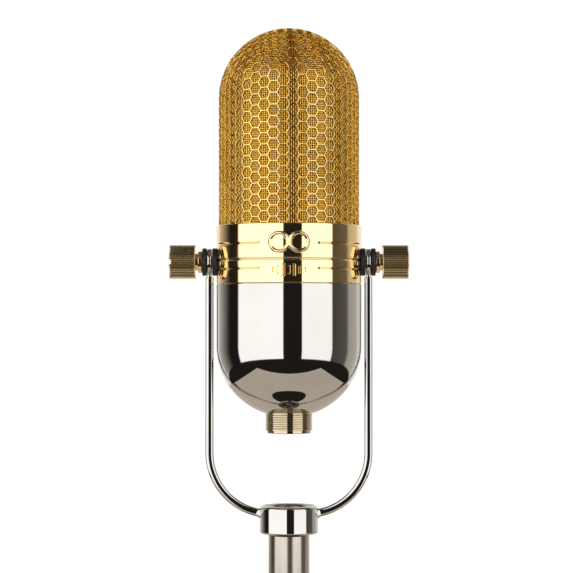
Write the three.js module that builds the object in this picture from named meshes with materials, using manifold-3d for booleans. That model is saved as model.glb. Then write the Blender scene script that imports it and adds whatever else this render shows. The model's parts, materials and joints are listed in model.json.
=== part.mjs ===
// Ribbon microphone in a U-shaped yoke on a short threaded stand post.
// Millimetres, +Z up, front face towards -Y. The origin is the centre of the post's lower end.

import * as THREE from 'three';
import { mergeVertices } from 'three/addons/utils/BufferGeometryUtils.js';
import Module from 'manifold-3d';

const wasm = await Module();
wasm.setup();

// Driving dimensions -------------------------------------------------------------------------

const GAP = 0.3;                 // running and seating clearance between neighbouring pieces
const FULL_TURN = Math.PI * 2;
const ROUND_SIDES = 32;          // facets of the body shells
const SMALL_SIDES = 24;          // facets of turned parts
const TINY_SIDES = 12;           // facets of screws and pins

const BODY_R = 32.5;             // outer radius of the band and the lower cup
const GRILLE_R = 31.4;           // outer radius of the basket and of its round top
const PIVOT_Z = 172.3;           // height of the tilt axis above the post's lower end

// Heights from here on are above the tilt axis.
const BAND = {
  top: 16.1, bottom: -9.8, lipR: 31.75, ledge: 12.5, flangeR: 24.5, flangeBottom: 8.0, boreR: 29.6,
  grooves: [7.5, 0.6, -3.5], grooveWidth: 0.9, grooveDepth: 0.45,
  markHalfWidth: 12.4, pivotHoleR: 4.8, seatX: 31.7, seatR: 6.7,
};
const EMBLEM = { x: 4.4, z: 7.8, outerR: 4.7, innerR: 3.5, raised: 0.3, embedded: 0.5 };
const BARS = {
  pitch: 2.3, halfWidth: 0.5, z: -4.2, depth: 1.4, halfHeights: [0.9, 1.7, 2.7, 1.9, 2.7, 1.7, 0.9],
};

const DOME_Z = 73.2;             // centre of the grille's round top
const SCREEN = {
  basket: 0.6, meshR: 30.3, mesh: 0.4, liningR: 29.3, lining: 0.4, foot: 12.8,
  ringInnerR: 26.2, ringOuterR: 28.4, ringHeight: 3.5,
};

const CUP = {
  top: -10.1, centre: -37.5, depth: 31.8, wall: 2.2, flatZ: -67.2, holeR: 9.7,
  spigotR: 29.2, spigotInnerR: 27.4, spigotTop: -5.6, spigotFoot: 2, wallFoot: 4,
};
const CONNECTOR = {
  top: -60.0, shoulder: -67.5, bottom: -76.4, threadR: 10.6, rootR: 10.15, pitch: 1.0, crests: 7,
  endR: 9.9, endRing: 1.2, endChamfer: 0.35, firstRoot: 1.4, neckR: 9.3, boreR: 8.1,
  insertR: 7.8, insertTop: -61.5, insertBottom: -66.0,
  pinCircle: 4.4, pinR: 1.2, pinTop: -58.4, pinBottom: -74.6, pinTip: 0.5,
  nutR: 11.4, nutBottom: -64.4, nutTop: -61.6,
};

const YOKE = {
  armX: 35.5, rodR: 1.85, bendR: 27.2, drop: 112.4, socketDepth: 3.85,
  eyeR: 6.0, eyeThick: 2.0, tongue: 10.0, rodTop: -8,
};
const COLLAR = { r: 13.0, top: -108.5, bottom: -121.1, boreR: 8.25, edge: 1.4, boreEdge: 0.5 };
const POST = {
  r: 9.1, shoulder: -121.6, shoulderEdge: 0.5, stubR: 7.9, stubTop: -112.6, stubChamfer: 1,
  socketR: 8.0, socketDepth: 16, bottom: -PIVOT_Z,
};

const WASHER = { outerR: 6.15, holeR: 3.0, innerFrom: 32.0, innerTo: 34.25, outerFrom: 36.75, outerTo: 38.7 };
const SCREW = {
  shankR: 2.5, shankFrom: 27.2, flangeR: 4.9, flangeFrom: 38.85, neckR: 3.8, neckFrom: 40.6,
  knobR: 7.5, knobFrom: 41.7, knobTo: 53.4, ridges: 36, ridgeDepth: 0.35, slotWidth: 1.7, slotDepth: 1.0,
};
const INSERT = { r: 4.45, holeR: 2.85, from: 26.2, to: 31.4 };

const CHASSIS = {
  r: 29.2, top: 7.7, bottom: 5.2, screwCircle: 26.8, screwHoleR: 1.5, leadX: 12, leadY: 11, leadHoleR: 2.4,
  bandHoleR: 1.4, bandHoleTop: 11.9, headR: 2.2, headBottom: 3.4, threadR: 1.1, threadTop: 11.4,
};
const MOTOR = {
  baseBottom: 14.3, baseTop: 17.3, baseHalfX: 18, baseHalfY: 9, frameX: 18, frameBottom: 17.6, frameTop: 84,
  frameCorner: 4, windowX: 14.8, windowBottom: 23, windowTop: 81, depth: 5,
  magnetInner: 6.4, magnetOuter: 14.5, poleInner: 2.9, poleTip: 2.2, poleBottom: 30, poleTop: 74,
  ribbonHalf: 2.4, ribbonBottom: 24.6, ribbonTop: 79.4, ribbonThick: 0.2, ribbonFlat: 4.6,
  folds: 28, foldDepth: 0.7,
};
const ISOLATOR = { r: 3.2, waistR: 2.3, rim: 1.5, x: 13, y: 5 };
const CLAMP = {
  height: 4.2, screwX: 4.4, holeR: 0.95, holeCorners: 8, blockHalf: 7, blockFrom: 0.5, blockTo: 4.8,
  barHalf: 6.5, barFrom: -2.3, barTo: -0.5,
  screwR: 0.6, screwFrom: -4.2, headR: 1.3, headFrom: 2.6, headTo: 3.6,
};
const BOARD = { r: 21, top: -13.9, bottom: -15.5, standoffCircle: 18.2, standoffR: 2.4 };
const CORE = {
  halfX: 12, halfY: 7, top: -17.2, bottom: -36.5, leg: 3.6, yokeHeight: 4, window: 4.6, coilStandsOut: 4,
  strap: 0.8, strapFoot: 4, strapHalfY: 4.5,
};
const LEAD = { r: 0.6, corners: 6, steps: 13 };

// Finishes ------------------------------------------------------------------------------------

const finish = (color, roughness, metalness) => ({ color, roughness, metalness });
const FINISH = {
  gold: finish(0xd9a648, 0.15, 1),
  chrome: finish(0xd8d8da, 0.06, 1),
  nickel: finish(0xb9b0a4, 0.35, 1),
  brass: finish(0xb8954f, 0.3, 1),
  rubber: finish(0x171716, 0.85, 0),
  lining: finish(0x3a2f20, 0.9, 0),
  steel: finish(0x8b8d90, 0.35, 1),
  magnet: finish(0x55575a, 0.3, 1),
  ribbon: finish(0xd4d6da, 0.25, 1),
  insulator: finish(0x1d1d1f, 0.6, 0),
  board: finish(0x1f5a36, 0.6, 0),
  copper: finish(0xa85f2e, 0.4, 1),
  wireRed: finish(0x9a2320, 0.6, 0),
  wireBlack: finish(0x202022, 0.6, 0),
  wireWhite: finish(0xcfcabd, 0.6, 0),
};

// Geometry helpers ----------------------------------------------------------------------------

/** A closed piece turned about Z, from [radius, height] points with the material on their left. */
function turned(profile, sides) {
  const points = profile.map(([radius, height]) => new THREE.Vector2(radius, height));
  return new THREE.LatheGeometry(points, sides).rotateX(Math.PI / 2);
}

/** Profile points of an arc about [0, centre], with angles from the equator and its own depth. */
function arcPoints(radius, centre, fromAngle, toAngle, steps, depth = radius) {
  return Array.from({ length: steps + 1 }, (_, i) => {
    const angle = fromAngle + (toAngle - fromAngle) * i / steps;
    return [radius * Math.cos(angle), centre + depth * Math.sin(angle)];
  });
}

/** A profile whose first and last points meet, for a ring. */
function closed(profile) {
  return [...profile, profile[0]];
}

/** A plain ring about Z. */
function ring(innerR, outerR, bottom, top, sides) {
  return turned(closed([[innerR, bottom], [outerR, bottom], [outerR, top], [innerR, top]]), sides);
}

/** A plain disc or rod about Z. */
function rod(radius, bottom, top, sides) {
  return turned([[0, bottom], [radius, bottom], [radius, top], [0, top]], sides);
}

/** A box from its lowest to its highest corner. */
function block([x0, y0, z0], [x1, y1, z1]) {
  const geometry = new THREE.BoxGeometry(x1 - x0, y1 - y0, z1 - z0);
  return geometry.translate((x0 + x1) / 2, (y0 + y1) / 2, (z0 + z1) / 2);
}

/** An outline in the XZ plane, made solid from one Y to another. */
function plateXZ(shape, yFrom, yTo, curveSegments = TINY_SIDES) {
  const options = { depth: yTo - yFrom, bevelEnabled: false, curveSegments };
  return new THREE.ExtrudeGeometry(shape, options).rotateX(Math.PI / 2).translate(0, yTo, 0);
}

/** An outline of (y, z) points, made solid from one X to another. */
function plateYZ(shape, xFrom, xTo, curveSegments = TINY_SIDES) {
  const options = { depth: xTo - xFrom, bevelEnabled: false, curveSegments };
  const turn = new THREE.Matrix4().makeBasis(
    new THREE.Vector3(0, 1, 0), new THREE.Vector3(0, 0, 1), new THREE.Vector3(1, 0, 0),
  );
  return new THREE.ExtrudeGeometry(shape, options).applyMatrix4(turn).translate(xFrom, 0, 0);
}

/** An outline in the XY plane, made solid from one height to another. */
function plateXY(shape, bottom, top, curveSegments = TINY_SIDES) {
  const options = { depth: top - bottom, bevelEnabled: false, curveSegments };
  return new THREE.ExtrudeGeometry(shape, options).translate(0, 0, bottom);
}

/** An outline made of straight lines. */
function polygon(points) {
  return new THREE.Shape(points.map(([x, y]) => new THREE.Vector2(x, y)));
}

/** The corners of a regular outline. */
function regular(x, y, radius, corners) {
  return Array.from({ length: corners }, (_, i) => {
    const angle = FULL_TURN * i / corners;
    return new THREE.Vector2(x + radius * Math.cos(angle), y + radius * Math.sin(angle));
  });
}

/** A round hole for an outline. */
function roundHole(x, y, radius, corners = TINY_SIDES) {
  return new THREE.Path(regular(x, y, radius, corners));
}

/** A round outline. */
function disc(radius, corners = SMALL_SIDES) {
  return new THREE.Shape(regular(0, 0, radius, corners));
}

/** A round rod or wire along a curve. */
function swept(curve, radius, sides, steps) {
  return new THREE.ExtrudeGeometry(disc(radius, sides), { steps, bevelEnabled: false, extrudePath: curve });
}

/** Turns a piece made about Z to lie along X, with its top towards +X or -X. */
function alongX(geometry, side) {
  return geometry.rotateY(side * Math.PI / 2);
}

function toManifold(geometry) {
  const bare = geometry.clone();
  bare.deleteAttribute('normal');
  bare.deleteAttribute('uv');
  const merged = mergeVertices(bare, 1e-4);
  const vertProperties = new Float32Array(merged.attributes.position.array);
  const triVerts = new Uint32Array(merged.index.array);
  return new wasm.Manifold(new wasm.Mesh({ numProp: 3, vertProperties, triVerts }));
}

function fromManifold(solid) {
  const mesh = solid.getMesh();
  const geometry = new THREE.BufferGeometry();
  geometry.setAttribute('position', new THREE.BufferAttribute(mesh.vertProperties, 3));
  geometry.setIndex(new THREE.BufferAttribute(mesh.triVerts, 1));
  geometry.computeVertexNormals();
  return geometry;
}

/** The first piece with others joined to it. */
function join(first, ...others) {
  return fromManifold(others.reduce((all, other) => all.add(toManifold(other)), toManifold(first)));
}

/** The first piece with others cut from it. */
function cut(first, ...others) {
  return fromManifold(others.reduce((all, other) => all.subtract(toManifold(other)), toManifold(first)));
}

/** What two pieces have in common. */
function common(first, second) {
  return fromManifold(toManifold(first).intersect(toManifold(second)));
}

function part(name, geometry, { color, roughness, metalness }) {
  const mesh = new THREE.Mesh(geometry, new THREE.MeshStandardMaterial({ color, roughness, metalness }));
  mesh.name = name;
  return mesh;
}

const sides = [['left', -1], ['right', 1]];

// Grille --------------------------------------------------------------------------------------

/** A thin round-topped shell, open at its foot. */
function domedShell(outerR, wall, facets, arcSteps) {
  const innerR = outerR - wall;
  return turned([
    ...arcPoints(innerR, DOME_Z, Math.PI / 2, 0, arcSteps),
    [innerR, SCREEN.foot],
    [outerR, SCREEN.foot],
    ...arcPoints(outerR, DOME_Z, 0, Math.PI / 2, arcSteps),
  ], facets);
}

function grille() {
  return [
    part('grille_basket', domedShell(GRILLE_R, SCREEN.basket, ROUND_SIDES, 7), FINISH.gold),
    part('grille_mesh', domedShell(SCREEN.meshR, SCREEN.mesh, ROUND_SIDES, 6), FINISH.brass),
    part('grille_lining', domedShell(SCREEN.liningR, SCREEN.lining, SMALL_SIDES, 5), FINISH.lining),
    part('grille_ring', ring(
      SCREEN.ringInnerR, SCREEN.ringOuterR, SCREEN.foot, SCREEN.foot + SCREEN.ringHeight, SMALL_SIDES,
    ), FINISH.brass),
  ];
}

// Band ----------------------------------------------------------------------------------------

/** A groove right round the band, or one that stops short of the marks on the front. */
function bandGroove(height, stopsAtMarks) {
  const half = BAND.grooveWidth / 2;
  const groove = ring(BODY_R - BAND.grooveDepth, BODY_R + 1, height - half, height + half, ROUND_SIDES);
  if (!stopsAtMarks) return groove;
  const reach = BODY_R + 2;
  const front = block([-BAND.markHalfWidth, -reach, height - 1], [BAND.markHalfWidth, 0, height + 1]);
  return cut(groove, front);
}

/** An outline on the band's front, raised a little above its surface. */
function raisedOnFront(shape) {
  const skin = ring(BODY_R - EMBLEM.embedded, BODY_R + EMBLEM.raised, BAND.bottom, BAND.top, ROUND_SIDES * 2);
  return common(plateXZ(shape, -BODY_R - 2, -BODY_R / 2), skin);
}

/** Figure-of-eight emblem: the two lobes that a ribbon hears from, front and back. */
function emblem() {
  return [-EMBLEM.x, EMBLEM.x].map((x) => {
    const outline = new THREE.Shape(regular(x, EMBLEM.z, EMBLEM.outerR, SMALL_SIDES));
    outline.holes.push(roundHole(x, EMBLEM.z, EMBLEM.innerR, SMALL_SIDES));
    return raisedOnFront(outline);
  });
}

/** Row of upright bars like a sound level, under the emblem. */
function levelBars() {
  const { pitch, halfWidth, z, depth, halfHeights } = BARS;
  const middle = (halfHeights.length - 1) / 2;
  return halfHeights.map((half, i) => {
    const x = (i - middle) * pitch;
    return block([x - halfWidth, -BODY_R - 1, z - half], [x + halfWidth, depth - BODY_R, z + half]);
  });
}

function band() {
  const body = turned(closed([
    [BAND.boreR, BAND.bottom], [BODY_R, BAND.bottom], [BODY_R, BAND.top], [BAND.lipR, BAND.top],
    [BAND.lipR, BAND.ledge], [BAND.flangeR, BAND.ledge], [BAND.flangeR, BAND.flangeBottom],
    [BAND.boreR, BAND.flangeBottom],
  ]), ROUND_SIDES);
  const [upper, middle, lower] = BAND.grooves;
  const grooves = [bandGroove(upper, true), bandGroove(middle, false), bandGroove(lower, true)];
  const pivots = sides.flatMap(([, side]) => [
    alongX(rod(BAND.pivotHoleR, BODY_R - 10, BODY_R + 1, SMALL_SIDES), side),
    alongX(rod(BAND.seatR, BAND.seatX, BODY_R + 1, SMALL_SIDES), side),
  ]);
  const screwHoles = chassisScrewPlaces().map(([x, y]) => (
    rod(CHASSIS.bandHoleR, 0, CHASSIS.bandHoleTop, TINY_SIDES).translate(x, y, 0)
  ));
  const grooved = cut(body, ...grooves, ...pivots, ...screwHoles, ...levelBars());
  return part('band', join(grooved, ...emblem()), FINISH.gold);
}

function pivotInserts() {
  return sides.map(([name, side]) => part(
    `pivot_insert_${name}`,
    alongX(ring(INSERT.holeR, INSERT.r, INSERT.from, INSERT.to, SMALL_SIDES), side),
    FINISH.brass,
  ));
}

// Lower cup and connector ---------------------------------------------------------------------

function lowerCup() {
  const innerR = BODY_R - CUP.wall;
  const innerDepth = CUP.depth - CUP.wall;
  const innerFlatZ = CUP.flatZ + CUP.wall;
  const outerEnd = Math.asin((CUP.centre - CUP.flatZ) / CUP.depth);
  const innerEnd = Math.asin((CUP.centre - innerFlatZ) / innerDepth);
  return part('lower_cup', turned(closed([
    [CUP.holeR, CUP.flatZ],
    ...arcPoints(BODY_R, CUP.centre, -outerEnd, 0, 7, CUP.depth),
    [BODY_R, CUP.top], [CUP.spigotR, CUP.top],
    [CUP.spigotR, CUP.spigotTop], [CUP.spigotInnerR, CUP.spigotTop],
    [CUP.spigotInnerR, CUP.top - CUP.spigotFoot], [innerR, CUP.top - CUP.wallFoot],
    ...arcPoints(innerR, CUP.centre, 0, -innerEnd, 4, innerDepth),
    [CUP.holeR, innerFlatZ],
  ]), ROUND_SIDES), FINISH.chrome);
}

/** Male connector shell with an outside thread below its shoulder and a plain bore. */
function connectorShell() {
  const { top, shoulder, bottom, neckR, boreR, endR, endRing, endChamfer } = CONNECTOR;
  const { threadR, rootR, pitch, crests, firstRoot } = CONNECTOR;
  const thread = Array.from({ length: crests }, (_, i) => {
    const height = bottom + firstRoot + pitch * i;
    return [[rootR, height], [threadR, height + pitch / 2]];
  }).flat();
  return part('connector_shell', turned(closed([
    [boreR, bottom], [endR - endChamfer, bottom], [endR, bottom + endChamfer], [endR, bottom + endRing],
    ...thread,
    [threadR, shoulder], [neckR, shoulder], [neckR, top], [boreR, top],
  ]), SMALL_SIDES), FINISH.gold);
}

function pinPlaces() {
  return [Math.PI / 6, Math.PI * 5 / 6, -Math.PI / 2].map((angle) => [
    CONNECTOR.pinCircle * Math.cos(angle), CONNECTOR.pinCircle * Math.sin(angle),
  ]);
}

function connectorInner() {
  const face = disc(CONNECTOR.insertR);
  face.holes.push(...pinPlaces().map(([x, y]) => roundHole(x, y, CONNECTOR.pinR + GAP)));
  const insert = plateXY(face, CONNECTOR.insertBottom, CONNECTOR.insertTop);
  const { pinR, pinTop, pinBottom, pinTip } = CONNECTOR;
  const profile = [
    [0, pinBottom], [pinR - pinTip, pinBottom], [pinR, pinBottom + pinTip], [pinR, pinTop], [0, pinTop],
  ];
  const pins = pinPlaces().map(([x, y], i) => part(
    `connector_pin_${i + 1}`, turned(profile, TINY_SIDES).translate(x, y, 0), FINISH.gold,
  ));
  return [part('connector_insert', insert, FINISH.insulator), ...pins];
}

/** Hexagonal nut that holds the shell from inside the cup. */
function connectorNut() {
  const outline = disc(CONNECTOR.nutR, 6);
  outline.holes.push(roundHole(0, 0, CONNECTOR.neckR + GAP, SMALL_SIDES));
  return part('connector_nut', plateXY(outline, CONNECTOR.nutBottom, CONNECTOR.nutTop), FINISH.brass);
}

// Chassis and ribbon motor --------------------------------------------------------------------

function chassisScrewPlaces() {
  return [Math.PI / 4, Math.PI * 3 / 4, -Math.PI / 2].map((angle) => [
    CHASSIS.screwCircle * Math.cos(angle), CHASSIS.screwCircle * Math.sin(angle),
  ]);
}

function standoffPlaces() {
  return [Math.PI / 2, Math.PI * 7 / 6, Math.PI * 11 / 6].map((angle) => [
    BOARD.standoffCircle * Math.cos(angle), BOARD.standoffCircle * Math.sin(angle),
  ]);
}

function chassis() {
  const outline = disc(CHASSIS.r);
  outline.holes.push(...chassisScrewPlaces().map(([x, y]) => roundHole(x, y, CHASSIS.screwHoleR)));
  const { leadX, leadY, leadHoleR } = CHASSIS;
  outline.holes.push(...[-1, 1].map((side) => roundHole(side * leadX, -leadY, leadHoleR)));
  const plate = part('chassis_plate', plateXY(outline, CHASSIS.bottom, CHASSIS.top), FINISH.steel);
  const { headR, headBottom, threadR, threadTop } = CHASSIS;
  const headTop = CHASSIS.bottom - GAP;
  const profile = [
    [0, headBottom], [headR, headBottom], [headR, headTop],
    [threadR, headTop], [threadR, threadTop], [0, threadTop],
  ];
  const screws = chassisScrewPlaces().map(([x, y], i) => part(
    `chassis_screw_${i + 1}`, turned(profile, TINY_SIDES).translate(x, y, 0), FINISH.steel,
  ));
  return [plate, ...screws];
}

/** Four waisted rubber feet under the motor's base. */
function isolators() {
  const { r, waistR, rim, x: halfX, y: halfY } = ISOLATOR;
  const bottom = CHASSIS.top + GAP;
  const top = MOTOR.baseBottom - GAP;
  const waist = (bottom + top) / 2;
  const profile = [
    [0, bottom], [r, bottom], [r, bottom + rim], [waistR, waist], [r, top - rim], [r, top], [0, top],
  ];
  const places = [[-halfX, -halfY], [halfX, -halfY], [-halfX, halfY], [halfX, halfY]];
  return places.map(([x, y], i) => part(
    `motor_isolator_${i + 1}`, turned(profile, TINY_SIDES).translate(x, y, 0), FINISH.rubber,
  ));
}

/** Soft-iron frame with a tall window, which carries the field round the outside of the magnets. */
function motorFrame() {
  const { frameX, frameBottom, frameTop, frameCorner, windowX, windowBottom, windowTop, depth } = MOTOR;
  const outline = polygon([
    [-frameX, frameBottom], [frameX, frameBottom],
    [frameX, frameTop - frameCorner], [frameX - frameCorner, frameTop],
    [frameCorner - frameX, frameTop], [-frameX, frameTop - frameCorner],
  ]);
  outline.holes.push(new THREE.Path([
    [-windowX, windowBottom], [-windowX, windowTop], [windowX, windowTop], [windowX, windowBottom],
  ].map(([x, z]) => new THREE.Vector2(x, z))));
  return part('motor_frame', plateXZ(outline, -depth, depth), FINISH.steel);
}

function magnets() {
  const { magnetInner, magnetOuter, depth, poleBottom, poleTop } = MOTOR;
  return sides.map(([name, side]) => {
    const [from, to] = [side * magnetInner, side * magnetOuter].sort((a, b) => a - b);
    return part(`magnet_${name}`, block([from, -depth, poleBottom], [to, depth, poleTop]), FINISH.magnet);
  });
}

/** Pole pieces that narrow from the magnet to the ribbon's edge. */
function polePieces() {
  const { magnetInner, poleInner, poleTip, depth, poleBottom, poleTop } = MOTOR;
  const back = magnetInner - GAP;
  return sides.map(([name, side]) => {
    const outline = [[poleInner, -poleTip], [back, -depth], [back, depth], [poleInner, poleTip]];
    const points = outline.map(([x, y]) => [side * x, y]);
    const shape = polygon(side > 0 ? points : points.reverse());
    return part(`pole_piece_${name}`, plateXY(shape, poleBottom, poleTop), FINISH.steel);
  });
}

/** Corrugated foil: flat at both ends, folded across its width between the clamps. */
function ribbon() {
  const { ribbonBottom, ribbonTop, ribbonThick, ribbonHalf, ribbonFlat, folds, foldDepth } = MOTOR;
  const length = ribbonTop - ribbonBottom - 2 * ribbonFlat;
  const middle = Array.from({ length: folds + 1 }, (_, i) => {
    const offset = i === 0 || i === folds ? 0 : (i % 2 === 0 ? -1 : 1) * foldDepth / 2;
    return [offset, ribbonBottom + ribbonFlat + length * i / folds];
  });
  const line = [[0, ribbonBottom], ...middle, [0, ribbonTop]];
  const front = line.map(([y, z]) => [y + ribbonThick / 2, z]);
  const back = line.map(([y, z]) => [y - ribbonThick / 2, z]).reverse();
  return part('ribbon', plateYZ(polygon([...front, ...back]), -ribbonHalf, ribbonHalf), FINISH.ribbon);
}

/** Insulating block, brass bar and two screws that grip one end of the ribbon. */
function ribbonClamp(name, bottom, firstScrew) {
  const { screwX, holeR, holeCorners, screwR, screwFrom, headR, headFrom, headTo } = CLAMP;
  const top = bottom + CLAMP.height;
  const middle = (bottom + top) / 2;
  const plate = (halfWidth, yFrom, yTo) => {
    const outline = polygon([[-halfWidth, bottom], [halfWidth, bottom], [halfWidth, top], [-halfWidth, top]]);
    outline.holes.push(...[-screwX, screwX].map((x) => roundHole(x, middle, holeR, holeCorners)));
    return plateXZ(outline, yFrom, yTo);
  };
  const profile = [
    [0, screwFrom], [screwR, screwFrom], [screwR, headFrom], [headR, headFrom], [headR, headTo], [0, headTo],
  ];
  const screws = [-screwX, screwX].map((x, i) => part(
    `clamp_screw_${firstScrew + i}`,
    turned(profile, TINY_SIDES).rotateX(Math.PI / 2).translate(x, 0, middle),
    FINISH.steel,
  ));
  return [
    part(`clamp_block_${name}`, plate(CLAMP.blockHalf, CLAMP.blockFrom, CLAMP.blockTo), FINISH.insulator),
    part(`clamp_bar_${name}`, plate(CLAMP.barHalf, CLAMP.barFrom, CLAMP.barTo), FINISH.brass),
    ...screws,
  ];
}

function ribbonMotor() {
  const { baseHalfX, baseHalfY, baseBottom, baseTop } = MOTOR;
  const base = block([-baseHalfX, -baseHalfY, baseBottom], [baseHalfX, baseHalfY, baseTop]);
  return [
    part('motor_base', base, FINISH.insulator),
    motorFrame(),
    ...magnets(),
    ...polePieces(),
    ribbon(),
    ...ribbonClamp('bottom', MOTOR.ribbonBottom, 1),
    ...ribbonClamp('top', MOTOR.ribbonTop - CLAMP.height, 3),
  ];
}

// Board, transformer and leads ----------------------------------------------------------------

function board() {
  const standoffs = standoffPlaces().map(([x, y], i) => part(
    `board_standoff_${i + 1}`,
    rod(BOARD.standoffR, BOARD.top + GAP, CHASSIS.bottom - GAP, 6).translate(x, y, 0),
    FINISH.brass,
  ));
  const plate = part('circuit_board', rod(BOARD.r, BOARD.bottom, BOARD.top, SMALL_SIDES), FINISH.board);
  return [plate, ...standoffs];
}

/** Laminated core with two windows. */
function transformerCore() {
  const { halfX, halfY, top, bottom, leg, yokeHeight, window } = CORE;
  const windows = [-1, 1].map((side) => {
    const [from, to] = [side * leg, side * (leg + window)].sort((a, b) => a - b);
    return block([from, -halfY - 1, bottom + yokeHeight], [to, halfY + 1, top - yokeHeight]);
  });
  return cut(block([-halfX, -halfY, bottom], [halfX, halfY, top]), ...windows);
}

/** Coil round the core's middle leg. */
function transformerCoil() {
  const { halfY, top, bottom, leg, yokeHeight, window, coilStandsOut } = CORE;
  const rectangle = (x, y) => [[-x, -y], [x, -y], [x, y], [-x, y]];
  const outline = polygon(rectangle(leg + window - GAP, halfY + coilStandsOut));
  const opening = rectangle(leg + GAP, halfY + GAP).reverse();
  outline.holes.push(new THREE.Path(opening.map(([x, y]) => new THREE.Vector2(x, y))));
  return plateXY(outline, bottom + yokeHeight + GAP, top - yokeHeight - GAP);
}

/** U-shaped strap that holds the core under the board, with a foot on each side. */
function transformerStrap() {
  const { halfX, bottom, strap, strapFoot, strapHalfY } = CORE;
  const inner = halfX + GAP;
  const outer = inner + strap;
  const foot = outer + strapFoot;
  const footZ = BOARD.bottom - GAP;
  const inside = bottom - GAP;
  const outside = inside - strap;
  const outline = polygon([
    [-foot, footZ], [-foot, footZ - strap], [-outer, footZ - strap], [-outer, outside], [outer, outside],
    [outer, footZ - strap], [foot, footZ - strap], [foot, footZ], [inner, footZ], [inner, inside],
    [-inner, inside], [-inner, footZ],
  ]);
  return plateXZ(outline, -strapHalfY, strapHalfY);
}

function transformer() {
  return [
    part('transformer_core', transformerCore(), FINISH.steel),
    part('transformer_coil', transformerCoil(), FINISH.copper),
    part('transformer_strap', transformerStrap(), FINISH.steel),
  ];
}

function lead(name, points, look) {
  const curve = new THREE.CatmullRomCurve3(points.map(([x, y, z]) => new THREE.Vector3(x, y, z)));
  return part(name, swept(curve, LEAD.r, LEAD.corners, LEAD.steps), look);
}

/** Leads from the two ribbon clamps, down through the chassis plate to the board. */
function motorLeads() {
  const { leadX, leadY } = CHASSIS;
  const boardTop = BOARD.top + GAP;
  const throughPlate = (x) => [[x, -leadY, 6], [x, -leadY, boardTop]];
  const fromTop = [
    [7.3, -1.4, 77.3], [9.5, -3, 77], [11.5, -7.5, 73], [12, -10.4, 60], [12, -10.6, 30], [12, -10.8, 16],
  ];
  const fromBottom = [
    [-7.3, -1.4, 26.7], [-9.2, -3.4, 26.9], [-11.2, -7.5, 26.4], [-12, -10.6, 23], [-12, -11, 15],
  ];
  return [
    lead('lead_top', [...fromTop, ...throughPlate(leadX)], FINISH.wireRed),
    lead('lead_bottom', [...fromBottom, ...throughPlate(-leadX)], FINISH.wireBlack),
  ];
}

/** Leads from the board's edge to the connector's pins. */
function outputLeads() {
  const boardBottom = BOARD.bottom - GAP;
  const pinTop = CONNECTOR.pinTop + GAP;
  const looks = [FINISH.wireBlack, FINISH.wireRed, FINISH.wireWhite];
  const starts = [[17.5, 9], [-17.5, 9], [0, -16]];
  return pinPlaces().map(([x, y], i) => {
    const [fromX, fromY] = starts[i];
    const route = [
      [fromX, fromY, boardBottom], [fromX * 1.02, fromY, -28], [fromX * 0.85, fromY * 0.95, -40],
      [x * 1.6, y * 1.6, -50], [x, y, -55.5], [x, y, pinTop],
    ];
    return lead(`lead_pin_${i + 1}`, route, looks[i]);
  });
}

// Yoke, washers, thumbscrews ------------------------------------------------------------------

/** Centreline of the right arm from under the pivot to inside the collar. */
function armPath() {
  const bendX = YOKE.armX - YOKE.bendR;
  const bendZ = YOKE.bendR - YOKE.drop;
  const endAngle = Math.acos((COLLAR.r - YOKE.socketDepth - bendX) / YOKE.bendR);
  const path = new THREE.CurvePath();
  const rodTop = new THREE.Vector3(YOKE.armX, 0, YOKE.rodTop);
  path.add(new THREE.LineCurve3(rodTop, new THREE.Vector3(YOKE.armX, 0, bendZ)));
  const bend = new THREE.EllipseCurve(bendX, bendZ, YOKE.bendR, YOKE.bendR, 0, -endAngle, true);
  const points = bend.getPoints(14).map(({ x, y }) => new THREE.Vector3(x, 0, y));
  path.add(new THREE.CatmullRomCurve3(points));
  return path;
}

/** Rod and flattened eye of one arm. */
function yokeArm(side) {
  const { armX, eyeR, eyeThick, tongue, rodR } = YOKE;
  const outline = new THREE.Shape();
  const lean = Math.asin(rodR / eyeR);
  outline.absarc(0, 0, eyeR, -Math.PI / 2 + lean, Math.PI * 3 / 2 - lean, false);
  outline.lineTo(-rodR, -tongue);
  outline.lineTo(rodR, -tongue);
  outline.holes.push(roundHole(0, 0, SCREW.shankR + GAP, SMALL_SIDES));
  const eye = plateYZ(outline, armX - eyeThick / 2, armX + eyeThick / 2);
  const arm = join(swept(armPath(), rodR, 10, 26), eye);
  return side > 0 ? arm : arm.rotateZ(Math.PI);
}

function yoke() {
  const { r, top, bottom, boreR, edge, boreEdge } = COLLAR;
  const near = edge * (1 - Math.SQRT1_2);
  const ringBody = turned(closed([
    [boreR, bottom], [r - edge, bottom], [r - near, bottom + near], [r, bottom + edge],
    [r, top - edge], [r - near, top - near], [r - edge, top],
    [boreR + boreEdge, top], [boreR, top - boreEdge],
  ]), SMALL_SIDES);
  const sockets = sides.map(([, side]) => {
    const socket = swept(armPath(), YOKE.rodR + GAP, 10, 26);
    return side > 0 ? socket : socket.rotateZ(Math.PI);
  });
  return [
    part('stand_collar', cut(ringBody, ...sockets), FINISH.chrome),
    ...sides.map(([name, side]) => part(`yoke_arm_${name}`, yokeArm(side), FINISH.chrome)),
  ];
}

function washers(place, from, to) {
  const washer = () => ring(WASHER.holeR, WASHER.outerR, from, to, SMALL_SIDES);
  return sides.map(([name, side]) => part(`${place}_washer_${name}`, alongX(washer(), side), FINISH.rubber));
}

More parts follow.
